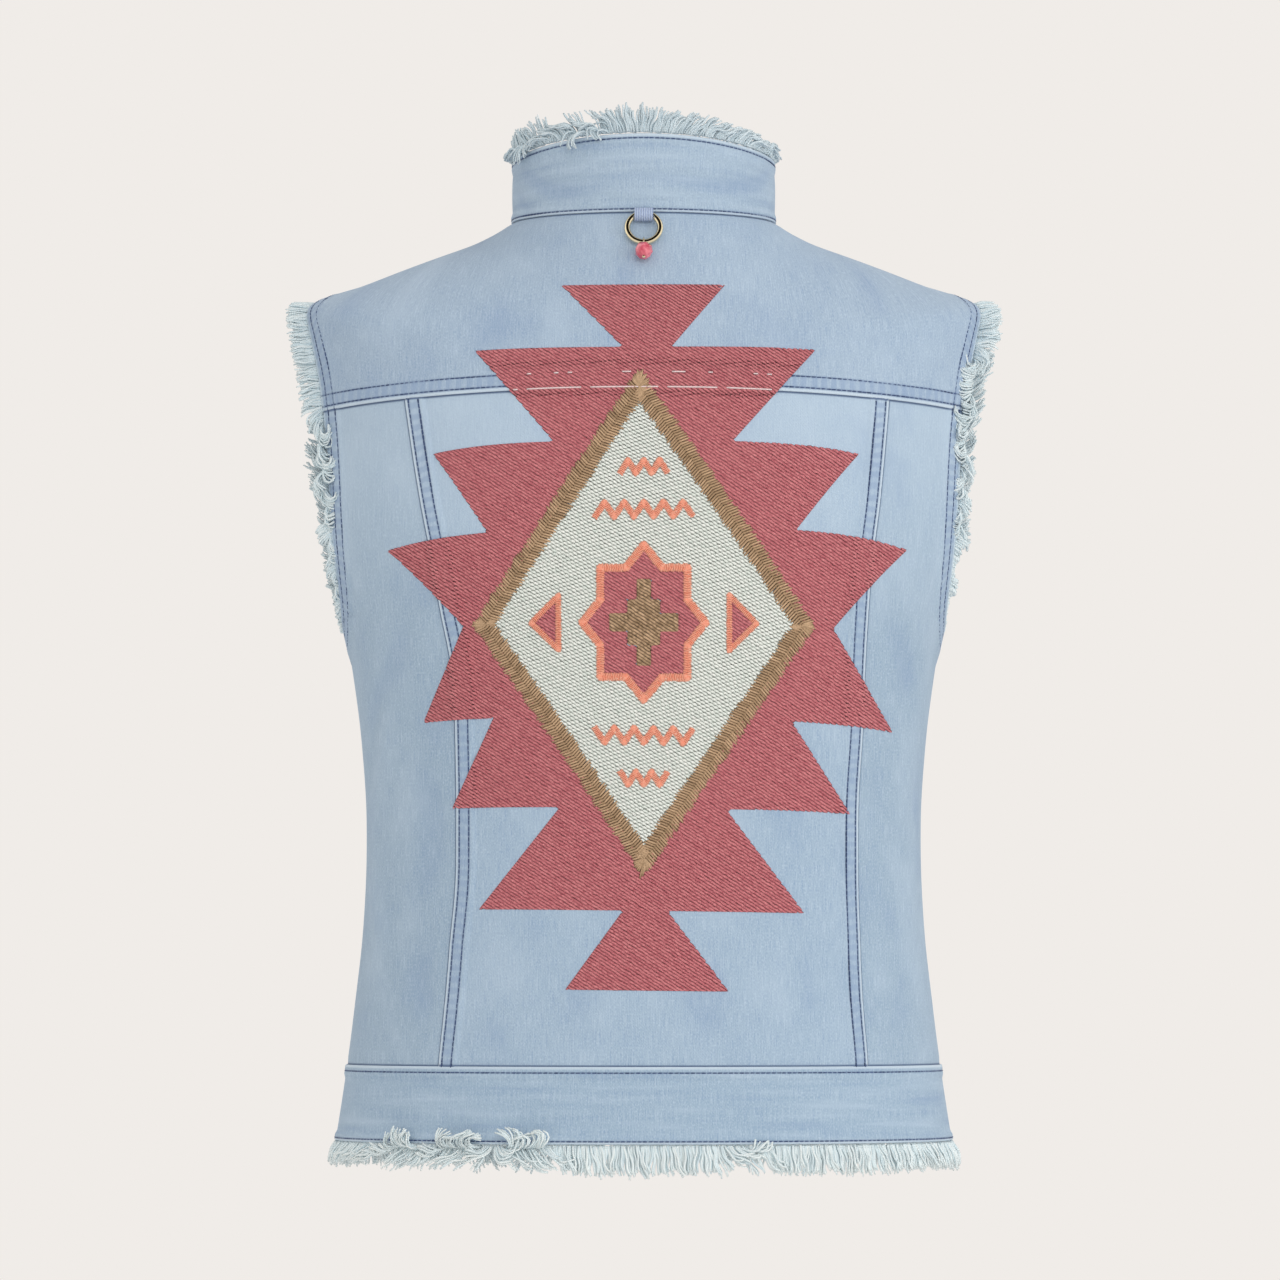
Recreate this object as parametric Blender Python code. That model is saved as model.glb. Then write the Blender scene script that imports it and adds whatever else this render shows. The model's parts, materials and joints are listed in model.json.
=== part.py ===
"""Denim vest with frayed edges, hollow as when it is worn.

The back faces -Y, the front +Y, and +Z is up; left and right are the wearer's, so left is -X. The origin lies
midway between the two points where the collar meets the shoulder seams. Tables hold millimetres, and MM turns
them into metres.

The cloth follows one smooth form through oval sections. A place on it is an angle round the body, from the
wearer's right side towards the front, and a distance along the centre back from the hem.
"""

import math

import bmesh
import bpy
import numpy as np
from mathutils import Matrix, Vector

MM = 0.001
BACK, SIDE, FRONT = -math.pi / 2, 0.0, math.pi / 2

# Cloth
CLOTH = 1.4 * MM
DOUBLE_CLOTH = 2.2 * MM
SEAM_GAP = 0.3 * MM
SHARP_ANGLE = math.radians(40)

# Sections of the form: heights at centre back, sides and centre front, half width, depths to back and front,
# and squareness, where 2 is an ellipse
COLUMNS = ("z_back", "z_side", "z_front", "half_width", "back", "front", "square")
BODY_SECTIONS = {
    "hem": (-518, -518, -518, 173.5, 118, 122, 2.2),
    "waistband seam": (-476.5, -476.5, -476.5, 167.2, 113, 117, 2.2),
    "high hip": (-434, -434, -434, 162, 106, 112, 2.2),
    "below waist": (-393, -393, -393, 157.8, 100, 108, 2.2),
    "waist": (-350, -350, -350, 156.3, 98, 107, 2.2),
    "ribs": (-300, -300, -300, 158.8, 102, 113, 2.25),
    "under bust": (-262, -262, -262, 163.4, 106, 119, 2.3),
    "underarm": (-231, -231, -231, 168.4, 110, 123, 2.35),
    "shoulder blades": (-190, -180, -195, 184, 114, 119, 2.35),
    "chest": (-150, -120, -160, 189.5, 115, 112, 2.3),
    "yoke": (-108, -78, -130, 191, 111, 103, 2.3),
    "shoulder end": (-80, -52, -110, 191.5, 103.5, 97, 2.3),
    "middle shoulder": (-62, -36.5, -97, 160, 97.5, 91, 2.25),
    "shoulder": (-46, -20.8, -84, 120, 90, 84, 2.2),
    "neck base": (-16, -8.5, -66, 88, 74, 70, 2.05),
    "neck seam": (0, 0, -58, 74, 66, 60, 2.0),
}
COLLAR_SECTIONS = {
    "neck seam": (0, 0, -58, 74, 66, 59.4, 2.0),
    "middle": (22, 17.5, -38, 74.6, 66.2, 60, 2.0),
    "top": (44, 34.5, -18, 73.5, 64.5, 60.5, 2.0),
}
HEIGHT_POWER = 1.6

# Armholes: half width at the shoulder end, depths from the side seam to the back and front edges, fullness
ARMHOLE_TOP = 186.5 * MM
ARMHOLE_BACK = 52 * MM
ARMHOLE_FRONT = 50 * MM
ARMHOLE_FULLNESS = 2.2
ARMHOLE_NARROWING = 0.2

# Back seams: the yoke seam drops towards the armholes, and the shaped seams swing in at the waist
YOKE_SEAM_Z = -104.5 * MM
YOKE_SEAM_DROP = 8.5 * MM
YOKE_SEAM_HALF = 180 * MM
SHAPED_COLUMNS = ("z", "left", "right")
SHAPED_SEAMS = (
    (-476.5, 113, 123.5),
    (-410, 107, 119.5),
    (-350, 103.5, 118.5),
    (-290, 104, 121),
    (-218, 113, 125.5),
    (-160, 123.5, 133.5),
    (-108, 131.5, 138),
)

# Front edges: the right one laps over the left
LAP = 18 * MM
LAP_RAMP = 24 * MM
LAP_GAP = 0.6 * MM
COLLAR_END = 3 * MM
COLLAR_END_SPREAD = 7 * MM

# Cells of the cloth grids
CENTRE_COLUMNS = 14
SIDE_COLUMNS = 7
FRONT_COLUMNS = 12
BODY_ROWS = 9
ARMHOLE_ROWS = 12
SHOULDER_ROWS = 6
BAND_ROWS = 2
COLLAR_COLUMNS = 36
COLLAR_ROWS = 3

# Frayed edges: locks on a narrow strip
FRINGE_GAP = 0.5 * MM
FRINGE_THICK = 1.2 * MM
FRINGE_STRIP = 3.5 * MM
LOCK_SHARE = 0.6
LOCK_SEED = 11
HEM_LOCKS = {"back": 40, "left": 18, "right": 20}
HEM_REACH = 17 * MM
ARMHOLE_LOCKS = 38
ARMHOLE_REACH = 14 * MM
ARMHOLE_THINNING = 110 * MM
COLLAR_LOCKS = 36
COLLAR_REACH = 13 * MM

# Loop, ring and bead at the centre back of the neck
LOOP_WIDTH = 10.5 * MM
LOOP_DROP = 4.4 * MM
LOOP_HOLE = 2.8 * MM
LOOP_RADIUS = 3.7 * MM
LOOP_POINTS = 20
LOOP_ROOT_DROP = 0.9 * MM
LOOP_ROOT_LIFT = 1.1 * MM
LOOP_SHOULDER = 1.06
RING_RADIUS = 9.15 * MM
RING_WIRE = 1.5 * MM
RING_HANG = 0.8 * MM
RING_STEPS = 36
RING_SIDES = 8
EYE_RADIUS = 2.25 * MM
PIN_WIRE = 0.4 * MM
PIN_HEAD_PROFILE = ((0.3, 0.4), (0.4, 0.85), (1.0, 0.85), (1.25, 0.51))
EYE_OPENING = (40, 340)
EYE_POINTS = 16
BEAD_RADIUS = 5.15 * MM
BEAD_HOLE = 0.75 * MM
BEAD_DROP = 8.1 * MM
BEAD_STEPS = 18

# Buttons on the centre front
BUTTON_HEIGHTS = (-84, -171, -258, -345, -432)
BAND_BUTTON_HEIGHT = -497
BUTTON_PROFILE = ((0, 0), (5.5, 0), (5.5, 1.3), (8.5, 1.7), (8.5, 3.1), (7.6, 3.8), (6.4, 3.3), (0, 3.6))
BUTTON_STEPS = 16

# Colours of the photograph, as display values from 0 to 255, then roughness and metallic
DENIM_YOKE = ((169, 187, 204), 0.9, 0.0)
DENIM_CENTRE = ((165, 186, 203), 0.9, 0.0)
DENIM_SIDE = ((160, 178, 194), 0.9, 0.0)
DENIM_BAND = ((161, 182, 200), 0.9, 0.0)
DENIM_COLLAR = ((166, 184, 201), 0.9, 0.0)
FRAY = ((196, 209, 215), 0.95, 0.0)
LOOP_TAPE = ((147, 165, 205), 0.85, 0.0)
GOLD = ((205, 190, 160), 0.25, 1.0)
BEAD_PINK = ((222, 98, 112), 0.3, 0.0)
BUTTON_METAL = ((176, 160, 138), 0.4, 1.0)


def smooth(knots, values, at):
    """Values at these places on a smooth curve through the knots that never swings past a knot's value."""
    knots = np.asarray(knots, float)
    values = np.asarray(values, float)
    width = np.diff(knots)
    slope = np.diff(values) / width
    product = slope[1:] * slope[:-1]
    total = slope[1:] + slope[:-1]
    inner = np.where(product > 0, 2 * product / np.where(total == 0, 1, total), 0)
    tangent = np.concatenate([slope[:1], inner, slope[-1:]])
    at = np.clip(at, knots[0], knots[-1])
    cell = np.clip(np.searchsorted(knots, at, side="right") - 1, 0, len(width) - 1)
    share = (at - knots[cell]) / width[cell]
    start = values[cell] + share * width[cell] * tangent[cell]
    end = values[cell + 1] - (1 - share) * width[cell] * tangent[cell + 1]
    blend = share * share * (3 - 2 * share)
    return start + (end - start) * blend


def solve(rising, low, high):
    """Where a rising function crosses zero, found for every element by halving the range."""
    for _ in range(42):
        middle = (low + high) / 2
        below = rising(middle) < 0
        low = np.where(below, middle, low)
        high = np.where(below, high, middle)
    return (low + high) / 2


def unit(vectors):
    return vectors / np.linalg.norm(vectors, axis=-1, keepdims=True)


class Form:
    """A smooth surface through oval sections, from the first section to the last."""

    def __init__(self, sections):
        scale = np.array([MM] * (len(COLUMNS) - 1) + [1])
        table = np.array(list(sections.values()), float) * scale
        self.columns = dict(zip(COLUMNS, table.T))
        length = np.hypot(np.diff(self.columns["z_back"]), np.diff(self.columns["back"]))
        self.knots = np.concatenate([[0], np.cumsum(length)])
        self.named = dict(zip(sections, self.knots))

    def column(self, name, at):
        return smooth(self.knots, self.columns[name], at)

    def depth(self, at, facing):
        return self.column("back" if facing < 0 else "front", at)

    def point(self, angle, at):
        """Points of the surface. The height of a section follows its depth."""
        angle, at = np.broadcast_arrays(angle, at)
        behind = np.sin(angle) < 0
        depth = np.where(behind, self.column("back", at), self.column("front", at))
        end = np.where(behind, self.column("z_back", at), self.column("z_front", at))
        side = self.column("z_side", at)
        square = self.column("square", at)
        across = np.abs(np.cos(angle)) / self.column("half_width", at)
        along = np.abs(np.sin(angle)) / depth
        radius = (across**square + along**square) ** (-1 / square)
        z = side + (end - side) * (radius * along) ** HEIGHT_POWER
        return np.stack([radius * np.cos(angle), radius * np.sin(angle), z], axis=-1)

    def normal(self, angle, at):
        """Outward directions of the surface."""
        step = 1e-4
        up = self.point(angle, at + step) - self.point(angle, at - step)
        around = self.point(angle + step, at) - self.point(angle - step, at)
        return unit(np.cross(around, up))

    def angle_at_width(self, at, x, facing):
        """Angle of the section's point at this x, on the back for facing -1 and on the front for 1."""
        square = self.column("square", at)
        share = np.abs(x / self.column("half_width", at))
        y = facing * self.depth(at, facing) * (1 - share**square) ** (1 / square)
        return np.arctan2(y, x)

    def angle_at_depth(self, at, reach, facing):
        """Angle of the section's right-hand point that lies this far behind or before the sides."""
        square = self.column("square", at)
        share = reach / self.depth(at, facing)
        x = self.column("half_width", at) * (1 - share**square) ** (1 / square)
        return np.arctan2(facing * reach, x)


BODY = Form(BODY_SECTIONS)
COLLAR = Form(COLLAR_SECTIONS)
BAND = BODY.named["waistband seam"]
UNDERARM = BODY.named["underarm"]
NECK = BODY.named["neck seam"]
TIP = float(
    solve(
        lambda at: ARMHOLE_TOP - BODY.column("half_width", at),
        np.array(BODY.named["shoulder end"]),
        np.array(BODY.named["middle shoulder"]),
    )
)


def armhole_angle(at, facing):
    """Angle of the right armhole's edge: an egg shape between the underarm and the shoulder end."""
    share = np.clip((at - UNDERARM) / (TIP - UNDERARM), 0, 1)
    bulge = np.sqrt(np.clip(1 - np.abs(2 * share - 1) ** ARMHOLE_FULLNESS, 0, 1))
    behind = ARMHOLE_BACK * (1 - ARMHOLE_NARROWING * share**2)
    reach = bulge * (behind if facing < 0 else ARMHOLE_FRONT)
    return BODY.angle_at_depth(at, reach, facing)


def over_yoke_seam(angle, at):
    """How far above the yoke seam a place on the back lies."""
    point = BODY.point(angle, at)
    return point[..., 2] - YOKE_SEAM_Z + YOKE_SEAM_DROP * (point[..., 0] / YOKE_SEAM_HALF) ** 2


def yoke_seam(angle):
    angle = np.asarray(angle, float)
    low, high = np.full_like(angle, UNDERARM), np.full_like(angle, NECK)
    return solve(lambda at: over_yoke_seam(angle, at), low, high)


YOKE_EDGE = float(
    solve(lambda at: over_yoke_seam(armhole_angle(at, -1), at), np.array(UNDERARM), np.array(TIP))
)

# Rows of the cloth grids, close together at the ends of the armhole, where its edge turns fastest
BODY_AT = np.linspace(BAND, UNDERARM, BODY_ROWS + 1)
ARMHOLE_AT = UNDERARM + (TIP - UNDERARM) * (1 - np.cos(np.linspace(0, math.pi, ARMHOLE_ROWS + 1))) / 2
SHOULDER_AT = np.linspace(TIP, NECK, SHOULDER_ROWS + 1)
BACK_AT = np.concatenate([BODY_AT[:-1], ARMHOLE_AT[ARMHOLE_AT < YOKE_EDGE], [YOKE_EDGE]])
YOKE_AT = np.concatenate([[YOKE_EDGE], ARMHOLE_AT[ARMHOLE_AT > YOKE_EDGE], SHOULDER_AT[1:]])
FRONT_AT = np.concatenate([BODY_AT[:-1], ARMHOLE_AT, SHOULDER_AT[1:]])
BACK_ROWS = (BACK_AT - BAND) / (YOKE_EDGE - BAND)


def mirrored(angle):
    """The same place on the wearer's left of the back."""
    return -math.pi - angle


def edge_angle(at, facing):
    """Right-hand edge of the back or the front: the side seam, the armhole, then the shoulder seam."""
    return np.where((at > UNDERARM) & (at < TIP), armhole_angle(at, facing), SIDE)


def shaped_seam(side):
    """Angles, row by row, of the seam between the centre and side back panels: side is -1 on the left."""
    table = np.array(SHAPED_SEAMS) * MM
    width = table[:, SHAPED_COLUMNS.index("left" if side < 0 else "right")]
    angle = np.full_like(BACK_ROWS, BACK)
    for _ in range(8):
        at = BAND + BACK_ROWS * (yoke_seam(angle[-1]) - BAND)
        z = BODY.point(angle, at)[:, 2]
        angle = BODY.angle_at_width(at, side * smooth(table[:, 0], width, z), -1)
    return angle


def between(start, end, cells):
    """Angles of a panel: for each row, even steps from its start to its end."""
    share = np.linspace(0, 1, cells + 1)
    return start[:, None] + (end - start)[:, None] * share


def display_colour(values):
    """Linear colour for display values from 0 to 255."""
    share = np.array(values) / 255
    linear = np.where(share <= 0.04045, share / 12.92, ((share + 0.055) / 1.055) ** 2.4)
    return (*linear, 1.0)


def finish(name, data, look, parent=None):
    """Puts an object with its own material in the scene."""
    colour, roughness, metallic = look
    material = bpy.data.materials.new(name)
    material.use_nodes = True
    shader = material.node_tree.nodes["Principled BSDF"]
    shader.inputs["Base Color"].default_value = display_colour(colour)
    shader.inputs["Roughness"].default_value = roughness
    shader.inputs["Metallic"].default_value = metallic
    data.materials.append(material)
    thing = bpy.data.objects.new(name, data)
    bpy.context.scene.collection.objects.link(thing)
    thing.parent = parent
    return thing


def empty(name, parent=None):
    thing = bpy.data.objects.new(name, None)
    bpy.context.scene.collection.objects.link(thing)
    thing.parent = parent
    return thing


def mesh_from(bm, name):
    bmesh.ops.recalc_face_normals(bm, faces=bm.faces)
    data = bpy.data.meshes.new(name)
    bm.to_mesh(data)
    bm.free()
    data.shade_smooth()
    data.set_sharp_from_angle(angle=SHARP_ANGLE)
    return data


def wall(bm, outer, inner, closed=False):
    """Adds a cloth wall between two grids of points, and returns the rim faces along its last row."""
    rows, columns = outer.shape[:2]
    out, into = [
        [[bm.verts.new(point) for point in row] for row in grid] for grid in (outer, inner)
    ]
    cells = columns if closed else columns - 1
    for row in range(rows - 1):
        for column in range(cells):
            after = (column + 1) % columns
            for grid in (out, into):
                bm.faces.new(
                    (grid[row][column], grid[row][after], grid[row + 1][after], grid[row + 1][column])
                )
    rims = []
    for row in (0, rows - 1):
        for column in range(cells):
            after = (column + 1) % columns
            rims.append(bm.faces.new((out[row][column], out[row][after], into[row][after], into[row][column])))
    if not closed:
        for column in (0, columns - 1):
            for row in range(rows - 1):
                bm.faces.new(
                    (out[row][column], out[row + 1][column], into[row + 1][column], into[row][column])
                )
    return rims[cells:]


def drawn_in(grid):
    """The grid with its borders drawn in by half a seam gap, so that neighbours keep a whole one."""
    grid = grid.copy()
    for lines in (grid, grid.swapaxes(0, 1)):
        for border, inside in ((0, 1), (-1, -2)):
            lines[border] += SEAM_GAP / 2 * unit(lines[inside] - lines[border])
    return grid


def panel(name, form, angle, at, thickness, look, rise=0.0):
    """A piece of cloth on a form, over a grid of places, moved out by a rise."""
    angle, at = np.broadcast_arrays(angle, at)
    normal = form.normal(angle, at)
    outer = drawn_in(form.point(angle, at) + np.asarray(rise)[..., None] * normal)
    bm = bmesh.new()
    wall(bm, outer, outer - thickness * normal)
    return finish(name, mesh_from(bm, name), look, VEST)


def lap_rise(form, angle, at, thickness):
    """How far the right front stands out where it lies over the left."""
    x = form.point(angle, at)[..., 0]
    share = np.clip((LAP + LAP_RAMP - x) / LAP_RAMP, 0, 1)
    share = np.where(np.sin(angle) > 0, share, 0)
    return (thickness + LAP_GAP) * share * share * (3 - 2 * share)


def along(points, shares):
    """Points at these shares of the length of a line of points, whose first three columns are its places."""
    length = np.linalg.norm(np.diff(points[:, :3], axis=0), axis=1)
    place = np.concatenate([[0], np.cumsum(length)]) / length.sum()
    return np.stack([np.interp(shares, place, column) for column in points.T], axis=1)


def comb(name, edge, out, inward, locks, reach, closed=False):
    """A frayed edge: a narrow strip beside the cloth's edge with tapering locks on it, all in one piece."""
    chance = np.random.default_rng(LOCK_SEED)
    reach = np.broadcast_to(reach, len(edge))[:, None]
    line = np.concatenate([edge, out, inward, reach], axis=1)
    starts = np.arange(locks) / locks
    shares = np.stack([starts, starts + LOCK_SHARE / locks], axis=1).ravel()
    if not closed:
        shares = shares / shares[-1]
    place, out, inward, reach = np.split(along(line, shares), (3, 6, 9), axis=1)
    out, inward = unit(out), unit(inward)
    near = place + FRINGE_GAP * out
    outer = np.stack([near, near + FRINGE_STRIP * out])
    bm = bmesh.new()
    rims = wall(bm, outer, outer + FRINGE_THICK * inward, closed)
    for face, way, side, length in zip(rims[::2], out[::2], inward[::2], reach[::2]):
        length = length * chance.uniform(0.8, 1.05)
        sway = np.cross(way, side) * chance.uniform(-0.35, 0.35) - side * chance.uniform(-0.1, 0.25)
        for share, bend, taper in ((0.55, 0.5, 0.8), (0.45, 1.0, 0.4)):
            face = bmesh.ops.extrude_discrete_faces(bm, faces=[face])["faces"][0]
            heading = unit(way + bend * sway)
            centre = face.calc_center_median()
            for vert in face.verts:
                vert.co = centre + taper * (vert.co - centre) + Vector(heading * share * length)
    return finish(name, mesh_from(bm, name), FRAY, VEST)


def neck_spot(distance, lift):
    """Place on the centre back this far below the neck seam and this far off the cloth."""
    at = NECK - distance
    return BODY.point(BACK, at) + lift * BODY.normal(BACK, at)


def turned(name, profile, count, look, parent):
    """A body turned round Z from a profile of (radius, height) pairs."""
    data = bpy.data.meshes.new(name)
    lines = [(i, i + 1) for i in range(len(profile) - 1)]
    data.from_pydata([(radius, 0, height) for radius, height in profile], lines, [])
    thing = finish(name, data, look, parent)
    turn = thing.modifiers.new("turn", "SCREW")
    turn.steps = turn.render_steps = count
    turn.use_merge_vertices = True
    turn.merge_threshold = 1e-6
    turn.use_normal_calculate = True
    return thing


for thing in list(bpy.data.objects):
    bpy.data.objects.remove(thing)
VEST = empty("vest")

# Back panels
row_share = BACK_ROWS[:, None]
left_seam, right_seam = shaped_seam(-1), shaped_seam(1)
right_edge = edge_angle(BACK_AT, -1)
back_parts = {
    "back_side_panel_left": (mirrored(right_edge), left_seam, SIDE_COLUMNS, DENIM_SIDE),
    "back_centre_panel": (left_seam, right_seam, CENTRE_COLUMNS, DENIM_CENTRE),
    "back_side_panel_right": (right_seam, right_edge, SIDE_COLUMNS, DENIM_SIDE),
}
yoke_foot, band_top = [mirrored(right_edge[-1:])], [mirrored(right_edge[:1])]
for name, (start, end, cells, look) in back_parts.items():
    angle = between(start, end, cells)
    panel(name, BODY, angle, BAND + row_share * (yoke_seam(angle[-1]) - BAND), CLOTH, look)
    yoke_foot.append(angle[-1, 1:])
    band_top.append(angle[0, 1:])
yoke_foot, band_top = np.concatenate(yoke_foot), np.concatenate(band_top)

# Yoke, up to the shoulder seams and the neck
right_edge = edge_angle(YOKE_AT, -1)
share = (yoke_foot - yoke_foot[0]) / (yoke_foot[-1] - yoke_foot[0])
angle = mirrored(right_edge)[:, None] + (right_edge - mirrored(right_edge))[:, None] * share
foot_at = yoke_seam(yoke_foot)
rise_share = (YOKE_AT - YOKE_EDGE) / (NECK - YOKE_EDGE)
panel("back_yoke", BODY, angle, foot_at + rise_share[:, None] * (NECK - foot_at), CLOTH, DENIM_YOKE)

# Fronts: each reaches past the centre, and the right one stands out over the left
front_at = FRONT_AT[:, None]
angle = between(edge_angle(FRONT_AT, 1), BODY.angle_at_width(FRONT_AT, -LAP, 1), FRONT_COLUMNS)
panel("front_right", BODY, angle, front_at, CLOTH, DENIM_CENTRE, lap_rise(BODY, angle, front_at, CLOTH))
panel("front_left", BODY, math.pi - angle[:, ::-1], front_at, CLOTH, DENIM_CENTRE)

# Waistband
band_at = np.linspace(0, BAND, BAND_ROWS + 1)[:, None]
panel("waistband_back", BODY, band_top[None, :], band_at, DOUBLE_CLOTH, DENIM_BAND)
angle = between(np.zeros(BAND_ROWS + 1), BODY.angle_at_width(band_at[:, 0], -LAP, 1), FRONT_COLUMNS)
band_rise = lap_rise(BODY, angle, band_at, DOUBLE_CLOTH)
panel("waistband_right", BODY, angle, band_at, DOUBLE_CLOTH, DENIM_BAND, band_rise)
panel("waistband_left", BODY, math.pi - angle[:, ::-1], band_at, DOUBLE_CLOTH, DENIM_BAND)

# Collar, open at the centre front with ends that spread towards the top
collar_top = COLLAR.knots[-1]
collar_at = np.linspace(0, collar_top, COLLAR_ROWS + 1)
end_gap = COLLAR_END + COLLAR_END_SPREAD * collar_at / collar_top
start = COLLAR.angle_at_width(collar_at, -end_gap, 1)
end = COLLAR.angle_at_width(collar_at, end_gap, 1) + 2 * math.pi
angle = between(start, end, COLLAR_COLUMNS)
panel("collar", COLLAR, angle, collar_at[:, None], DOUBLE_CLOTH, DENIM_COLLAR)

# Frayed collar edge
angle = np.linspace(start[-1], end[-1], 200)
edge = COLLAR.point(angle, collar_top)
up = unit(edge - COLLAR.point(angle, collar_top - 2 * MM))
comb("collar_fringe", edge, up, -COLLAR.normal(angle, collar_top), COLLAR_LOCKS, COLLAR_REACH)

# Frayed armhole edges, pointing out as the sleeves did
behind_at = np.sort(np.append(ARMHOLE_AT, YOKE_EDGE))
before_at = ARMHOLE_AT[::-1][1:]
egg_angle = np.concatenate([armhole_angle(behind_at, -1), armhole_angle(before_at, 1)])
edge = BODY.point(egg_angle, np.concatenate([behind_at, before_at]))
away = edge - (edge.min(axis=0) + edge.max(axis=0)) / 2
away[:, 0] = 0
away = unit(away)
out = unit(np.array([1, 0, -0.25]) + 0.3 * away)
inward = unit(np.cross(out, np.cross(out, away)))
reach = ARMHOLE_REACH * np.clip(0.32 + ((edge[:, 2] - edge[:, 2].min()) / ARMHOLE_THINNING) ** 3, 0, 1)
for name, way in (("armhole_fringe_right", 1), ("armhole_fringe_left", -1)):
    flip = np.array([way, 1, 1])
    comb(name, edge * flip, out * flip, inward * flip, ARMHOLE_LOCKS, reach, closed=True)

# Frayed hem, one piece for each part of the waistband
right_end = BODY.angle_at_width(0, -LAP, 1)
left_start = BODY.angle_at_width(0, -LAP - FRINGE_STRIP, 1)
hem_parts = {
    "back": (mirrored(SIDE), SIDE, 0.0),
    "right": (SIDE, right_end, 1.0),
    "left": (left_start, math.pi, 0.0),
}
for name, (start, end, lapped) in hem_parts.items():
    angle = np.linspace(start, end, 160)
    normal = BODY.normal(angle, 0.0)
    rise = lapped * lap_rise(BODY, angle, 0.0, DOUBLE_CLOTH)
    edge = BODY.point(angle, 0.0) + rise[:, None] * normal
    trim = SEAM_GAP / 2 * unit(edge[1] - edge[0]), SEAM_GAP / 2 * unit(edge[-2] - edge[-1])
    edge[0], edge[-1] = edge[0] + trim[0], edge[-1] + trim[1]
    down = np.broadcast_to(np.array([0.0, 0.0, -1.0]), edge.shape)
    comb(f"hem_fringe_{name}", edge, down, -normal, HEM_LOCKS[name], HEM_REACH)

# Places of the loop, the ring and the bead: each lies close over the yoke
pivot = neck_spot(LOOP_DROP, SEAM_GAP + LOOP_RADIUS)
ring_length = 2 * RING_RADIUS - RING_HANG
eye_lift = EYE_RADIUS + PIN_WIRE + SEAM_GAP
ring_way = unit(neck_spot(LOOP_DROP + ring_length, eye_lift) - pivot)
ring_foot = pivot + ring_length * ring_way
bead_way = unit(neck_spot(LOOP_DROP + ring_length + BEAD_DROP, BEAD_RADIUS + 2 * SEAM_GAP) - ring_foot)
ring_tilt = math.atan2(ring_way[1], -ring_way[2])
bead_tilt = math.atan2(bead_way[1], -bead_way[2])

# Hanger loop: a ring of tape whose root reaches up to the neck seam
root = neck_spot(LOOP_ROOT_DROP, LOOP_ROOT_LIFT) - pivot
root_angle = math.atan2(root[2], root[1])
turn = np.arange(LOOP_POINTS) * 2 * math.pi / LOOP_POINTS + root_angle
reach = np.full(LOOP_POINTS, LOOP_RADIUS)
reach[0] = np.linalg.norm(root)
reach[[1, -1]] = LOOP_SHOULDER * LOOP_RADIUS
outline = [
    np.stack([np.cos(turn) * radius + pivot[1], np.sin(turn) * radius + pivot[2]], axis=1)
    for radius in (reach, LOOP_HOLE)
]
sides = [
    np.stack([np.insert(line, 0, x, axis=1) for x in (-LOOP_WIDTH / 2, LOOP_WIDTH / 2)]) for line in outline
]
bm = bmesh.new()
wall(bm, sides[0], sides[1], closed=True)
finish("hanger_loop", mesh_from(bm, "hanger_loop"), LOOP_TAPE, VEST)

# Ring, turning about the loop
ring_pivot = empty("ring_pivot", VEST)
ring_pivot.location = pivot
ring_pivot.rotation_euler.x = ring_tilt
bpy.ops.mesh.primitive_torus_add(
    major_segments=RING_STEPS, minor_segments=RING_SIDES, major_radius=RING_RADIUS, minor_radius=RING_WIRE
)
made = bpy.context.object
data = made.data
bpy.data.objects.remove(made)
data.transform(Matrix.Translation((0, 0, RING_HANG - RING_RADIUS)) @ Matrix.Rotation(math.pi / 2, 4, "X"))
data.shade_smooth()
finish("ring", data, GOLD, ring_pivot)

# Bead on its pin, turning about the foot of the ring
bead_pivot = empty("bead_pivot", ring_pivot)
bead_pivot.location = (0, 0, -ring_length)
bead_pivot.rotation_euler.x = bead_tilt - ring_tilt
polar = np.linspace(math.asin(BEAD_HOLE / BEAD_RADIUS), math.pi - math.asin(BEAD_HOLE / BEAD_RADIUS), 13)
profile = [(BEAD_RADIUS * math.sin(a), BEAD_RADIUS * math.cos(a) - BEAD_DROP) for a in polar]
turned("bead", profile + profile[:1], BEAD_STEPS, BEAD_PINK, bead_pivot)

# The pin: an eye round the ring, a neck, the shank through the bead, and a head below it
bead_foot = BEAD_DROP + BEAD_RADIUS
eye = np.radians(np.linspace(*EYE_OPENING, EYE_POINTS))
path = [(EYE_RADIUS * math.sin(a), -EYE_RADIUS * math.cos(a), 1) for a in eye]
path += [(-0.3 * PIN_WIRE, -EYE_RADIUS - 1.25 * PIN_WIRE, 1), (0, -EYE_RADIUS - 3 * PIN_WIRE, 1)]
path += [(0, -bead_foot - drop * MM, radius * MM / PIN_WIRE) for drop, radius in PIN_HEAD_PROFILE]
curve = bpy.data.curves.new("bead_pin", "CURVE")
curve.dimensions = "3D"
curve.bevel_depth = PIN_WIRE
curve.bevel_resolution = 2
curve.use_fill_caps = True
spline = curve.splines.new("POLY")
spline.points.add(len(path) - 1)
for knot, (y, z, wide) in zip(spline.points, path):
    knot.co = (0, y, z, 1)
    knot.radius = wide
finish("bead_pin", curve, GOLD, bead_pivot)

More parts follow.
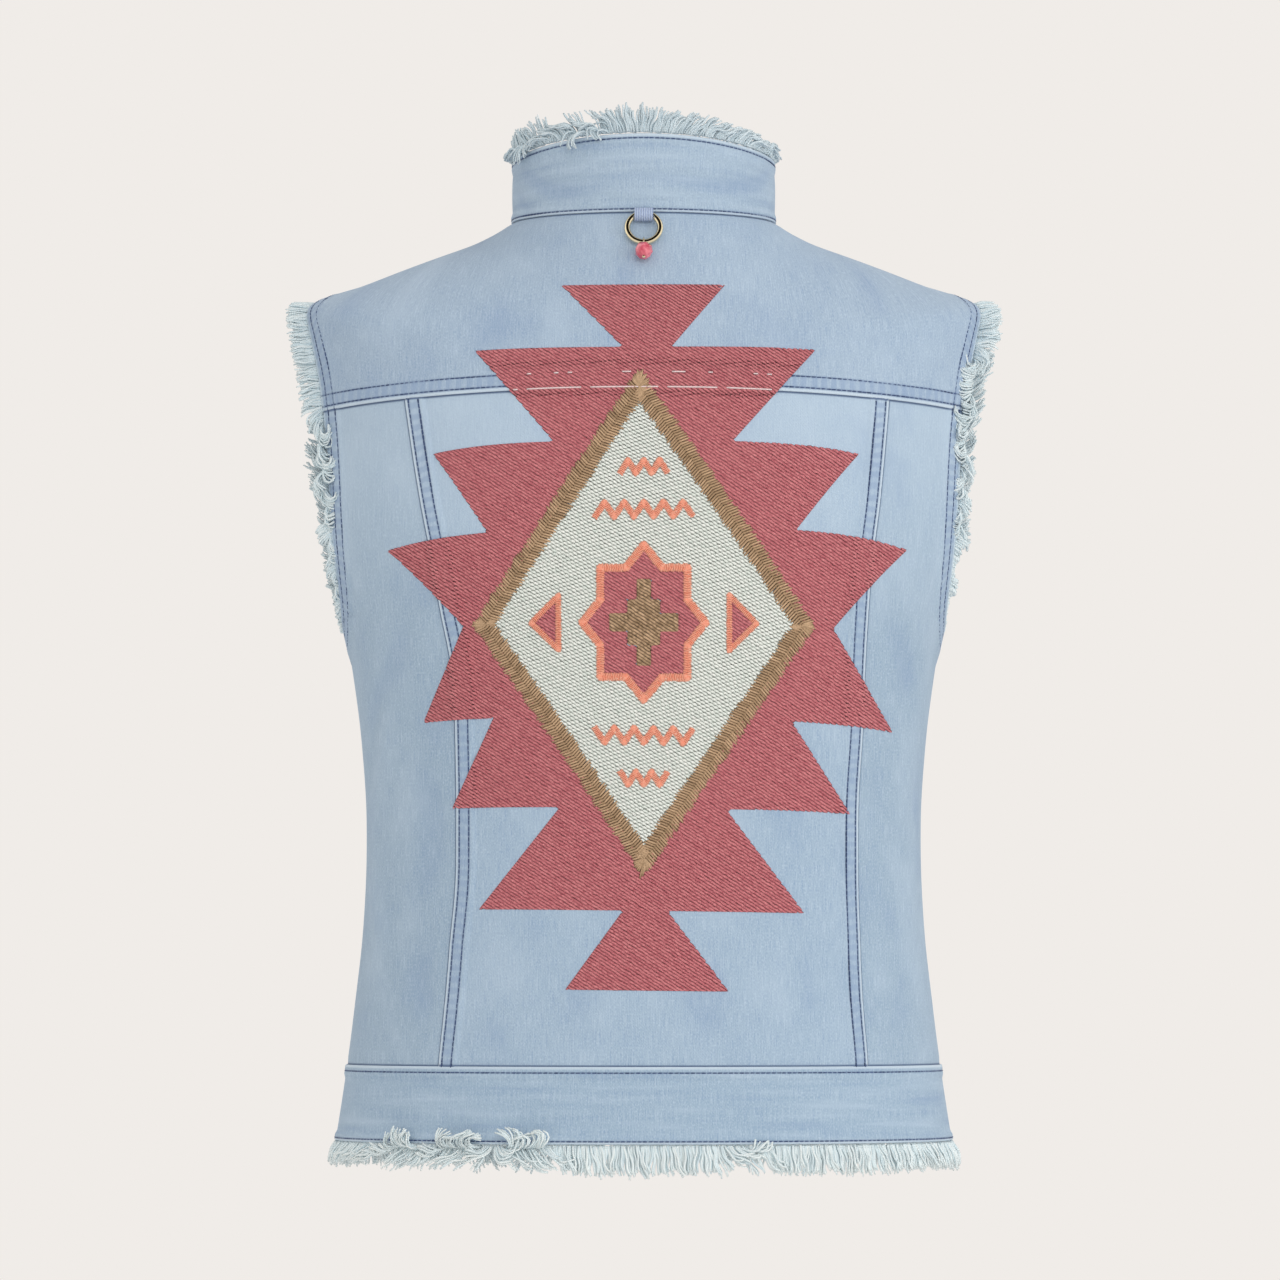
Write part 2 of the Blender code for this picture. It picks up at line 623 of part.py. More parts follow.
# Buttons, standing on the lapped right front and waistband
profile = [(radius * MM, height * MM) for radius, height in BUTTON_PROFILE]
buttons = {f"button_{i + 1}": (z, CLOTH) for i, z in enumerate(BUTTON_HEIGHTS)}
buttons["waistband_button"] = (BAND_BUTTON_HEIGHT, DOUBLE_CLOTH)
for name, (height, thickness) in buttons.items():
    at = float(solve(lambda at: BODY.point(FRONT, at)[..., 2] - height * MM, np.array(0.0), np.array(NECK)))
    normal = BODY.normal(FRONT, at)
    button = turned(name, profile, BUTTON_STEPS, BUTTON_METAL, VEST)
    button.location = BODY.point(FRONT, at) + (thickness + LAP_GAP + SEAM_GAP) * normal
    button.rotation_euler = Vector(normal).to_track_quat("Z", "Y").to_euler()
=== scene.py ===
# %% [markdown]
# # A frayed denim vest with a stitched medallion
# The vest is filled out as when it is worn, and we look at its back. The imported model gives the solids,
# the moving ring and bead, and one frame for everything. This lesson dresses that frame piece by piece:
# cloth first, then the sewing that holds it, the loose yarns of its edges, the thread medallion, and last
# the metal at the neck.

# %% Load the frame
import json
import math

import bpy
import numpy as np
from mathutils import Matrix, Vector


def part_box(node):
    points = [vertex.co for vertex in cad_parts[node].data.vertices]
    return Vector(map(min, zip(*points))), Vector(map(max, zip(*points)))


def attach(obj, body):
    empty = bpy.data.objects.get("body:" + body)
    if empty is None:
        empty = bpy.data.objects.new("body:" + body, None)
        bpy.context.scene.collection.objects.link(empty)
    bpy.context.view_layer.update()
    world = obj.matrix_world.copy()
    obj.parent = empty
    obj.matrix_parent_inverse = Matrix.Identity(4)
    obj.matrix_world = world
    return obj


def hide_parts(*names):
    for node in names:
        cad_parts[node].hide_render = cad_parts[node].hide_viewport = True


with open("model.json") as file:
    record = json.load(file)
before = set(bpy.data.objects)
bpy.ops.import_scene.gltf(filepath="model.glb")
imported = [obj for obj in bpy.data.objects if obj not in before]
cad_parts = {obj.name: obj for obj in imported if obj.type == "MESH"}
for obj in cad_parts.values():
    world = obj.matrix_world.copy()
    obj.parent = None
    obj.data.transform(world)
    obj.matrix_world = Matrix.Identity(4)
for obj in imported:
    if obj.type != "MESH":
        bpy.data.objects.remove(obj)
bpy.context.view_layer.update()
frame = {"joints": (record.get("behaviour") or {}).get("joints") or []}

# %% [markdown]
# ## The form under the cloth
# A vest has no frame of its own: its shape comes from the cut. We could model each panel by hand, but
# neighbouring panels have to meet, so all of them lie on one smooth surface through oval sections, as on
# a dress form. A place on it is an angle round the body and a distance up the centre back. The tables are
# the same sizes as in the solids.

# %% Sections of the form, in millimetres
MM = 0.001
BACK, SIDE, FRONT = -math.pi / 2, 0.0, math.pi / 2
COLUMNS = ("z_back", "z_side", "z_front", "half_width", "back", "front", "square")
BODY_SECTIONS = {
    "hem": (-518, -518, -518, 173.5, 118, 122, 2.2),
    "waistband seam": (-476.5, -476.5, -476.5, 167.2, 113, 117, 2.2),
    "high hip": (-434, -434, -434, 162, 106, 112, 2.2),
    "below waist": (-393, -393, -393, 157.8, 100, 108, 2.2),
    "waist": (-350, -350, -350, 156.3, 98, 107, 2.2),
    "ribs": (-300, -300, -300, 158.8, 102, 113, 2.25),
    "under bust": (-262, -262, -262, 163.4, 106, 119, 2.3),
    "underarm": (-231, -231, -231, 168.4, 110, 123, 2.35),
    "shoulder blades": (-190, -180, -195, 184, 114, 119, 2.35),
    "chest": (-150, -120, -160, 189.5, 115, 112, 2.3),
    "yoke": (-108, -78, -130, 191, 111, 103, 2.3),
    "shoulder end": (-80, -52, -110, 191.5, 103.5, 97, 2.3),
    "middle shoulder": (-62, -36.5, -97, 160, 97.5, 91, 2.25),
    "shoulder": (-46, -20.8, -84, 120, 90, 84, 2.2),
    "neck base": (-16, -8.5, -66, 88, 74, 70, 2.05),
    "neck seam": (0, 0, -58, 74, 66, 60, 2.0),
}
COLLAR_SECTIONS = {
    "neck seam": (0, 0, -58, 74, 66, 59.4, 2.0),
    "middle": (22, 17.5, -38, 74.6, 66.2, 60, 2.0),
    "top": (44, 34.5, -18, 73.5, 64.5, 60.5, 2.0),
}
HEIGHT_POWER = 1.6


# %% Curves, roots and directions
def smooth(knots, values, at):
    """Cubic curve through the knots whose slope at a knot is the harmonic mean of the slopes beside it."""
    knots = np.asarray(knots, float)
    values = np.asarray(values, float)
    width = np.diff(knots)
    slope = np.diff(values) / width
    product = slope[1:] * slope[:-1]
    total = slope[1:] + slope[:-1]
    inner = np.where(product > 0, 2 * product / np.where(total == 0, 1, total), 0)
    tangent = np.concatenate([slope[:1], inner, slope[-1:]])
    at = np.clip(at, knots[0], knots[-1])
    cell = np.clip(np.searchsorted(knots, at, side="right") - 1, 0, len(width) - 1)
    share = (at - knots[cell]) / width[cell]
    start = values[cell] + share * width[cell] * tangent[cell]
    end = values[cell + 1] - (1 - share) * width[cell] * tangent[cell + 1]
    return start + (end - start) * share * share * (3 - 2 * share)


def solve(rising, low, high, steps=36):
    """Where a rising function crosses zero, for every element, by halving the range."""
    for _ in range(steps):
        middle = (low + high) / 2
        below = rising(middle) < 0
        low, high = np.where(below, middle, low), np.where(below, high, middle)
    return (low + high) / 2


def unit(vectors):
    """The same directions with length 1."""
    return vectors / np.linalg.norm(vectors, axis=-1, keepdims=True)


def run_along(line):
    """How far along a line of points each of them lies."""
    return np.concatenate([[0], np.cumsum(np.linalg.norm(np.diff(line, axis=0), axis=1))])


def read_along(values, length, place):
    """Columns of values that are known at lengths along a line, read between them at each place."""
    return np.stack([np.interp(place, length, column) for column in np.asarray(values).T], axis=1)


def step_up(value, low, high):
    """0 below low, 1 above high, and the soft curve 3s^2 - 2s^3 between."""
    share = np.clip((value - low) / (high - low), 0, 1)
    return share * share * (3 - 2 * share)


# %% The form
FINE_STEP = 1 * MM
EASE_ROUNDS = 300
NEAREST_ROUNDS = 8
NUDGE = 1e-4


def eased(values, rate):
    """Moves each value, round after round, a part of the way to the mean of its neighbours; the ends
    stay."""
    values = values.copy()
    for _ in range(EASE_ROUNDS):
        values[1:-1] += 0.25 * rate[1:-1] * (values[2:] - 2 * values[1:-1] + values[:-2])
    return values


class Form:
    """A smooth surface through oval sections. Easing takes out the lines that light would show at a
    section."""

    def __init__(self, sections, rate):
        scale = np.array([MM] * (len(COLUMNS) - 1) + [1])
        table = np.array(list(sections.values()), float) * scale
        given = dict(zip(COLUMNS, table.T))
        length = np.hypot(np.diff(given["z_back"]), np.diff(given["back"]))
        self.knots = np.concatenate([[0], np.cumsum(length)])
        self.named = dict(zip(sections, self.knots))
        self.fine_at = np.linspace(0, self.knots[-1], int(self.knots[-1] / FINE_STEP) + 1)
        rates = dict.fromkeys(COLUMNS, rate(self.fine_at))
        rates["front"] = rates["z_front"] = np.ones_like(self.fine_at)
        self.fine = {}
        for name in COLUMNS:
            self.fine[name] = eased(smooth(self.knots, given[name], self.fine_at), rates[name])

    def column(self, name, at):
        return np.interp(at, self.fine_at, self.fine[name])

    def point(self, angle, at):
        """Superellipse radius at the angle; the height runs from the side's to the end's as depth^1.6."""
        angle, at = np.broadcast_arrays(angle, at)
        behind = np.sin(angle) < 0
        depth = np.where(behind, self.column("back", at), self.column("front", at))
        end = np.where(behind, self.column("z_back", at), self.column("z_front", at))
        side, square = self.column("z_side", at), self.column("square", at)
        across = np.abs(np.cos(angle)) / self.column("half_width", at)
        along = np.abs(np.sin(angle)) / depth
        radius = (across**square + along**square) ** (-1 / square)
        z = side + (end - side) * (radius * along) ** HEIGHT_POWER
        return np.stack([radius * np.cos(angle), radius * np.sin(angle), z], axis=-1)

    def normal(self, angle, at):
        """Cross product of the steps round and up the surface."""
        at = np.clip(at, NUDGE, self.knots[-1] - NUDGE)
        up = self.point(angle, at + NUDGE) - self.point(angle, at - NUDGE)
        around = self.point(angle + NUDGE, at) - self.point(angle - NUDGE, at)
        return unit(np.cross(around, up))

    def angle_at_width(self, at, x, facing):
        """Angle of the section's point at this x, on the back for facing -1 and on the front for 1."""
        square = self.column("square", at)
        share = np.clip(np.abs(x / self.column("half_width", at)), 0, 1)
        depth = self.column("back" if facing < 0 else "front", at)
        return np.arctan2(facing * depth * (1 - share**square) ** (1 / square), x)

    def angle_at_depth(self, at, reach, facing):
        """Angle of the section's right-hand point that lies this far behind or before the sides."""
        square = self.column("square", at)
        share = reach / self.column("back" if facing < 0 else "front", at)
        x = self.column("half_width", at) * (1 - share**square) ** (1 / square)
        return np.arctan2(facing * reach, x)

    def nearest(self, places, angle, at):
        """Angle and distance up of the nearest points of the form: from a first guess, each round steps
        along the two directions of the surface by what is missing."""
        for _ in range(NEAREST_ROUNDS):
            here = self.point(angle, at)
            around = (self.point(angle + NUDGE, at) - here) / NUDGE
            up = (self.point(angle, at + NUDGE) - self.point(angle, at - NUDGE)) / (2 * NUDGE)
            gap = places - here
            aa, uu, au = (around**2).sum(-1), (up**2).sum(-1), (around * up).sum(-1)
            ga, gu = (gap * around).sum(-1), (gap * up).sum(-1)
            share = aa * uu - au**2
            angle = angle + (ga * uu - gu * au) / share
            at = np.clip(at + (gu * aa - ga * au) / share, NUDGE, self.knots[-1] - NUDGE)
        return angle, at

    def at_height(self, angle, z):
        """Distance up the form at which this angle's point has the height z."""
        low, high = np.zeros_like(z), np.full_like(z, self.knots[-1])
        return solve(lambda at: self.point(angle, at)[..., 2] - z, low, high)


BODY = Form(BODY_SECTIONS, lambda at: 1 - 0.88 * step_up(at, 0.33, 0.42))
COLLAR = Form(COLLAR_SECTIONS, lambda at: 0.1 + 0 * at)
BAND, UNDERARM, NECK = (BODY.named[name] for name in ("waistband seam", "underarm", "neck seam"))
print(f"form: {NECK:.3f} m up the back; waist seam at {BAND:.3f} m, underarm at {UNDERARM:.3f} m")

# %% [markdown]
# ## Where the pieces meet
# The seams are curves on the form. The armhole is an egg shape, the yoke seam drops a little towards the
# armholes, and the two shaped seams swing in at the waist. Panels are grids of places between these
# curves.

# %% Armholes and back seams
ARMHOLE_TOP = 186.5 * MM
ARMHOLE_BACK = 52 * MM
ARMHOLE_FRONT = 50 * MM
ARMHOLE_FULLNESS = 2.2
ARMHOLE_NARROWING = 0.2
YOKE_SEAM_Z = -101.2 * MM
YOKE_SEAM_DROP = 8.5 * MM
YOKE_SEAM_HALF = 180 * MM
SHAPED_COLUMNS = ("z", "left", "right")
SHAPED_SEAMS = (
    (-476.5, 113, 123.5),
    (-410, 107, 119.5),
    (-350, 103.5, 118.5),
    (-290, 104, 121),
    (-218, 113, 124.2),
    (-160, 123.5, 130.4),
    (-108, 131.5, 135.1),
)
TIP = float(
    solve(
        lambda at: ARMHOLE_TOP - BODY.column("half_width", at),
        np.array(BODY.named["shoulder end"]),
        np.array(BODY.named["middle shoulder"]),
    )
)


def armhole_angle(at, facing):
    """Angle of the right armhole's edge: depth is the square root of 1 - |2s - 1|^2.2 over its height."""
    share = np.clip((at - UNDERARM) / (TIP - UNDERARM), 0, 1)
    bulge = np.sqrt(np.clip(1 - np.abs(2 * share - 1) ** ARMHOLE_FULLNESS, 0, 1))
    behind = ARMHOLE_BACK * (1 - ARMHOLE_NARROWING * share**2)
    return BODY.angle_at_depth(at, bulge * (behind if facing < 0 else ARMHOLE_FRONT), facing)


def over_yoke_seam(angle, at):
    """How far above the yoke seam a place on the back lies; the seam's drop grows as x squared."""
    point = BODY.point(angle, at)
    return point[..., 2] - YOKE_SEAM_Z + YOKE_SEAM_DROP * (point[..., 0] / YOKE_SEAM_HALF) ** 2


def yoke_seam(angle):
    angle = np.asarray(angle, float)
    low, high = np.full_like(angle, UNDERARM), np.full_like(angle, NECK)
    return solve(lambda at: over_yoke_seam(angle, at), low, high)


YOKE_EDGE = float(
    solve(lambda at: over_yoke_seam(armhole_angle(at, -1), at), np.array(UNDERARM), np.array(TIP))
)


def mirrored(angle):
    """The same place on the wearer's left of the back."""
    return -math.pi - angle


def edge_angle(at, facing):
    """Right-hand edge of the back or the front: the side seam, the armhole, then the shoulder seam."""
    return np.where((at > UNDERARM) & (at < TIP), armhole_angle(at, facing), SIDE)


def seam_width(side, z):
    """How far from the centre a shaped seam runs at this height: side is -1 on the wearer's left."""
    table = np.array(SHAPED_SEAMS) * MM
    return side * smooth(table[:, 0], table[:, SHAPED_COLUMNS.index("left" if side < 0 else "right")], z)


def shaped_seam(side, rows):
    """Angles of a shaped seam, row by row, where rows are shares of the way from waistband to yoke."""
    angle = np.full_like(rows, BACK)
    for _ in range(8):
        at = BAND + rows * (yoke_seam(angle[-1]) - BAND)
        angle = BODY.angle_at_width(at, seam_width(side, BODY.point(angle, at)[:, 2]), -1)
    return angle


print(f"yoke meets the armhole {YOKE_EDGE:.3f} m up, shoulder end {TIP:.3f} m up")

# %% [markdown]
# ## Grids that are fine where the sewing is
# A folded, stitched edge changes height within a millimetre, and the middle of a panel hardly at all. So
# the rows and columns stand at fixed distances from each edge, and evenly, further apart, between.

# %% Rows and columns
BACK_STEP = 3.0 * MM
FRONT_STEP = 7.0 * MM
BORDER_INSET = 8
MARGIN = MM * np.array(
    [0, 0.35, 0.8, 1.15, 1.7, 2.2, 2.7, 3.4, 4.4, 5.4]
    + [6.0, 6.7, 7.4, 8.1, 8.8, 9.6, 11, 12, 12.6, 13.3, 14.6]
)


def finer(values, step):
    """The same values with others put between them, none further apart than the step."""
    counts = np.maximum(np.ceil(np.diff(values) / step), 1).astype(int)
    parts = [np.linspace(a, b, n, endpoint=False) for a, b, n in zip(values[:-1], values[1:], counts)]
    return np.append(np.concatenate(parts), values[-1])


def with_margins(values):
    """The values with the margin's distances at both ends in place of those that lie there."""
    start, end, clear = values[0], values[-1], MARGIN[-1] + 1 * MM
    keep = (values > start + clear) & (values < end - clear)
    return np.concatenate([start + MARGIN, values[keep], end - MARGIN[::-1]])


def columns(form, start, end, at, step, left=True, right=True):
    """Angles, row by row: the margin's distances from each edge, and even steps between."""

    def reach(angle):
        step = form.point(angle + NUDGE, at) - form.point(angle - NUDGE, at)
        return np.linalg.norm(step, axis=-1) / (2 * NUDGE)

    first = start[:, None] + (MARGIN if left else MARGIN[:1]) / reach(start)[:, None]
    last = end[:, None] - (MARGIN[::-1] if right else MARGIN[:1]) / reach(end)[:, None]
    middle = (first[:, -1] + last[:, 0]) / 2
    longest = (reach(middle) * (last[:, 0] - first[:, -1])).max()
    share = np.linspace(0, 1, max(int(longest / step), 2) + 1)[1:-1]
    between = first[:, -1:] + (last[:, :1] - first[:, -1:]) * share
    return np.concatenate([first, between, last], axis=1)


class Panel:
    """A piece of cloth before it gets its thickness: a grid of places on a form."""

    def __init__(self, form, angle, at):
        self.form = form
        self.angle, self.at = np.broadcast_arrays(angle, at)
        self.points = form.point(self.angle, self.at)
        self.normals = form.normal(self.angle, self.at)

    def border(self, side):
        """The points along one side of the grid, and those of a line a little way in."""
        grid = self.points if side in ("low", "high") else self.points.swapaxes(0, 1)
        grid = grid[::-1] if side in ("high", "right") else grid
        return grid[0], grid[BORDER_INSET]

    def flat(self):
        """Way round the form from the middle of the piece's own side to each place, and its distance up
        the form."""
        middle = FRONT if np.sin(self.angle).mean() > 0.3 else BACK
        turn = (self.angle - middle + math.pi) % (2 * math.pi) - math.pi
        path = self.form.point(middle + turn[..., None] * np.linspace(0, 1, 25), self.at[..., None])
        way_round = np.linalg.norm(np.diff(path, axis=2), axis=-1).sum(axis=2)
        return np.stack([np.sign(turn) * way_round, self.at], axis=-1)

    def cut(self):
        """Widest row, longest column and area of the flat piece."""
        across = np.linalg.norm(np.diff(self.points, axis=1), axis=-1)
        up = np.linalg.norm(np.diff(self.points, axis=0), axis=-1)
        cell = (across[1:] + across[:-1]) / 2 * (up[:, 1:] + up[:, :-1]) / 2
        return across.sum(axis=1).max(), up.sum(axis=0).max(), cell.sum()


# %% Panels of the body
OVERHANG = 0.8 * MM
ARMHOLE_ROWS = 48
LAP = 18 * MM
LAP_RAMP = 24 * MM
LAP_GAP = 0.6 * MM
CLOTH = 1.4 * MM
DOUBLE_CLOTH = 2.2 * MM

body_at = np.linspace(BAND, UNDERARM, 10)
armhole_at = UNDERARM + (TIP - UNDERARM) * (1 - np.cos(np.linspace(0, math.pi, ARMHOLE_ROWS + 1))) / 2
from_end = np.minimum(armhole_at - UNDERARM, TIP - armhole_at)
armhole_at = armhole_at[(from_end < 0.01 * MM) | (from_end > 0.5 * MM)]
shoulder_at = np.linspace(TIP, NECK, 7)

back_at = np.concatenate([body_at[:-1], armhole_at[armhole_at < YOKE_EDGE], [YOKE_EDGE]])
back_at = with_margins(finer(back_at, BACK_STEP))
rows = (back_at - BAND) / (YOKE_EDGE - BAND)
left_seam, right_seam = shaped_seam(-1, rows), shaped_seam(1, rows)
right_edge = edge_angle(back_at, -1)
overhang_angle = OVERHANG / np.linalg.norm(BODY.point(right_seam, back_at), axis=-1)


def back_panel(start, end):
    angle = columns(BODY, start, end, back_at, BACK_STEP)
    return Panel(BODY, angle, BAND + rows[:, None] * (yoke_seam(angle[-1]) - BAND))


PANELS = {
    "side_back_left": back_panel(mirrored(right_edge), left_seam),
    "centre_back": back_panel(left_seam - overhang_angle, right_seam + overhang_angle),
    "side_back_right": back_panel(right_seam, right_edge),
}

yoke_at = np.concatenate([[YOKE_EDGE], armhole_at[armhole_at > YOKE_EDGE], shoulder_at[1:]])
yoke_at = with_margins(finer(yoke_at, BACK_STEP))
right_edge = edge_angle(yoke_at, -1)
angle = columns(BODY, mirrored(right_edge), right_edge, yoke_at, BACK_STEP)
foot_at = yoke_seam(angle[0]) - OVERHANG
rise_share = (yoke_at - YOKE_EDGE) / (NECK - YOKE_EDGE)
PANELS["yoke"] = Panel(BODY, angle, foot_at + rise_share[:, None] * (NECK - foot_at))

front_at = with_margins(finer(np.concatenate([body_at[:-1], armhole_at, shoulder_at[1:]]), FRONT_STEP))
angle = columns(BODY, edge_angle(front_at, 1), BODY.angle_at_width(front_at, -LAP, 1), front_at, FRONT_STEP)
PANELS["front_right"] = Panel(BODY, angle, front_at[:, None])
PANELS["front_left"] = Panel(BODY, math.pi - angle[:, ::-1], front_at[:, None])
print("panels:", {name: panel.points.shape[:2] for name, panel in PANELS.items()})

# %% Waistband and collar
COLLAR_END = 3 * MM
COLLAR_END_SPREAD = 7 * MM

band_at = with_margins(finer(np.array([0, BAND + OVERHANG]), BACK_STEP))
sides = np.zeros_like(band_at)
angle = columns(BODY, mirrored(sides), sides, band_at, BACK_STEP, left=False, right=False)
PANELS["waistband_back"] = Panel(BODY, angle, band_at[:, None])
angle = columns(BODY, sides, BODY.angle_at_width(band_at, -LAP, 1), band_at, FRONT_STEP, left=False)
PANELS["waistband_right"] = Panel(BODY, angle, band_at[:, None])
PANELS["waistband_left"] = Panel(BODY, math.pi - angle[:, ::-1], band_at[:, None])

collar_top = COLLAR.knots[-1]
collar_at = with_margins(finer(np.array([0, collar_top]), BACK_STEP))
end_gap = COLLAR_END + COLLAR_END_SPREAD * collar_at / collar_top
collar_start = COLLAR.angle_at_width(collar_at, -end_gap, 1)
collar_end = COLLAR.angle_at_width(collar_at, end_gap, 1) + 2 * math.pi
angle = columns(COLLAR, collar_start, collar_end, collar_at, BACK_STEP)
PANELS["collar"] = Panel(COLLAR, angle, collar_at[:, None])
grids = [PANELS[name].points.shape[:2] for name in ("waistband_back", "collar")]
print("waistband and collar grids:", *grids)

# %% [markdown]
# ## Folded edges and creases
# On the real vest the yoke laps over the panels below it, the centre panel over the side panels, and the
# waistband and collar over the body. Under each fold lie two more layers, so the edge stands about a
# millimetre proud, dips at the stitches and puckers between them. We could sculpt that; here each seam is
# a line in space, and every point of a panel takes its height from its distance to that line.

# %% Seams
FOLD_HEIGHT = 1.0 * MM
FOLD_ROUND = 0.8 * MM
FOLD_FADE = 3.5 * MM
DIMPLE_DEPTH = 0.32 * MM
DIMPLE_HALF = 0.55 * MM
PUCKER_HEIGHT = 0.2 * MM
PUCKER_STEP = 5.2 * MM
YOKE_ROWS = np.array([2.5, 8.8]) * MM
PAST_ROWS = 1.2 * MM
ROPED_OVER = 6 * MM
SEAM_CHUNK = 3000
FAR = 1.0


def ripple(place, step, seed):
    """Uneven waves about a step apart: four sines of random phase, between -1 and 1."""
    chance = np.random.default_rng(seed)
    shares, phases = chance.uniform(0.6, 1.7, 4), chance.uniform(0, 2 * math.pi, 4)
    return sum(np.sin(2 * math.pi * place / step * s + p) for s, p in zip(shares, phases)) / 4


class Seam:
    """A folded edge: its line in space, and how far in from the fold its rows of stitches run."""

    def __init__(self, line, rows, laps_over=True, height=FOLD_HEIGHT):
        self.line, self.rows, self.laps_over, self.height = line, rows, laps_over, height
        self.step = np.linalg.norm(np.diff(line, axis=0), axis=1)
        self.length = np.concatenate([[0], np.cumsum(self.step)])
        self.tangent = unit(np.gradient(line, axis=0))
        self.width = max(rows) + PAST_ROWS
        self.roped = max(rows) > ROPED_OVER
        self.scale = YOKE_ROWS[-1] / max(rows) if self.roped else 1.0

    def nearest(self, places):
        """Distance of each place from the line, and how far along the line its nearest point lies."""
        distance, along = np.empty(len(places)), np.empty(len(places))
        for start in range(0, len(places), SEAM_CHUNK):
            part = slice(start, start + SEAM_CHUNK)
            gap = places[part, None] - self.line
            best = (gap**2).sum(axis=-1).argmin(axis=1)
            off = places[part] - self.line[best]
            ahead = np.clip((off * self.tangent[best]).sum(axis=1), -self.step.max(), self.step.max())
            past = (best == 0) & (ahead < 0) | (best == len(self.line) - 1) & (ahead > 0)
            ahead = np.where(past, 0, ahead)
            distance[part] = np.linalg.norm(off - ahead[:, None] * self.tangent[best], axis=1)
            along[part] = self.length[best] + ahead
        return distance, along

    def rise(self, distance, along):
        """Height over the form: flat over the turned-in layers, round at the fold, dimpled at each row of
        stitches, puckered between fold and rows, and fading out past the last row."""
        flat = 1 - step_up(distance, self.width, self.width + FOLD_FADE)
        round_off = 0.55 * np.clip(1 - distance / FOLD_ROUND, 0, 1) ** 2
        dimples = sum(np.exp(-(((distance - row) / DIMPLE_HALF) ** 2)) for row in self.rows)
        pucker = PUCKER_HEIGHT * ripple(along, PUCKER_STEP, 5) * flat
        return self.height * flat * (1 - round_off) - DIMPLE_DEPTH * dimples + pucker


ARMHOLE_POINTS = 260
turn = np.linspace(0, 1, ARMHOLE_POINTS // 2)
behind_at = UNDERARM + (TIP - UNDERARM) * (1 - np.cos(math.pi * turn)) / 2
before_at = behind_at[::-1][1:]
egg_angle = np.concatenate([armhole_angle(behind_at, -1), armhole_angle(before_at, 1)])
egg_at = np.concatenate([behind_at, before_at])
egg = BODY.point(egg_angle, egg_at)
FLIP_X = np.array([-1, 1, 1])
SHAPED_ROWS = np.array([2.1, 8.0]) * MM
ARMHOLE_STITCHES = np.array([6.0, 12.6]) * MM
SEAMS = {
    "yoke": Seam(PANELS["yoke"].border("low")[0], YOKE_ROWS),
    "shaped_left": Seam(PANELS["centre_back"].border("left")[0], SHAPED_ROWS),
    "shaped_right": Seam(PANELS["centre_back"].border("right")[0], SHAPED_ROWS),
    "armhole_right": Seam(egg, ARMHOLE_STITCHES, laps_over=False),
    "armhole_left": Seam(egg * FLIP_X, ARMHOLE_STITCHES, laps_over=False),
    "collar_foot": Seam(PANELS["collar"].border("low")[0], np.array([1.5]) * MM, laps_over=False),
    "collar_top": Seam(PANELS["collar"].border("high")[0], np.array([2.6]) * MM, laps_over=False),
    "front_edge": Seam(
        PANELS["front_right"].border("right")[0], SHAPED_ROWS, laps_over=False, height=FOLD_HEIGHT / 2
    ),
}
for part in ("back", "left", "right"):
    panel = PANELS[f"waistband_{part}"]
    SEAMS[f"band_top_{part}"] = Seam(panel.border("high")[0], np.array([3.5]) * MM)
    SEAMS[f"band_foot_{part}"] = Seam(panel.border("low")[0], np.array([1.4]) * MM, laps_over=False)
print("seams:", ", ".join(f"{name} {seam.length[-1] * 1000:.0f} mm" for name, seam in SEAMS.items()))

# %% Creases placed one by one
CREASE_COLUMNS = ("angle", "z", "tilt", "length", "width", "depth")
CREASES = (
    (-158, -262, 62, 70, 9, -1.5), (-163, -300, 74, 90, 11, 1.3), (-151, -345, 82, 80, 13, -1.1),
    (-166, -392, 95, 70, 12, 1.2), (-148, -430, 100, 55, 10, -0.9), (-22, -258, -60, 66, 9, -1.4),
    (-16, -305, -72, 90, 12, 1.3), (-29, -350, -84, 75, 12, -1.0), (-14, -400, -96, 70, 12, 1.1),
    (-33, -436, -99, 52, 10, -0.8), (-142, -132, 78, 48, 10, -0.7), (-38, -135, -76, 46, 10, -0.7),
    (-128, -70, 30, 60, 12, -0.8), (-52, -66, -32, 62, 12, -0.8), (-104, -440, 88, 40, 12, 0.7),
    (-75, -446, 96, 36, 11, -0.7), (30, -250, 58, 80, 10, -1.6), (44, -300, 66, 95, 12, 1.5),
    (25, -370, 84, 90, 13, -1.3), (58, -410, 92, 70, 12, 1.0), (62, -170, 60, 60, 12, -1.0),
    (148, -252, -56, 78, 10, -1.5), (137, -310, -68, 92, 12, 1.4), (156, -372, -85, 84, 13, -1.2),
    (122, -418, -94, 66, 12, 1.0), (117, -165, -62, 58, 12, -1.0),
)
COLLAR_CREASES = (
    (-147, 20, -12, 46, 5, -0.9), (-158, 9, -28, 30, 4, -0.7), (-128, 13, -8, 50, 4, -0.6),
    (-118, 27, 3, 70, 5, 0.6), (-96, 19, -3, 90, 5, -0.6), (-84, 8, 2, 60, 4, 0.5),
    (-70, 27, 4, 66, 5, 0.6), (-54, 17, 9, 60, 5, -0.7), (-26, 22, 22, 42, 5, -0.9),
    (-18, 10, 30, 28, 4, 0.6), (40, -2, 10, 60, 5, -0.6), (140, -4, -12, 60, 5, -0.6),
)
CREASE_REACH = 45 * MM


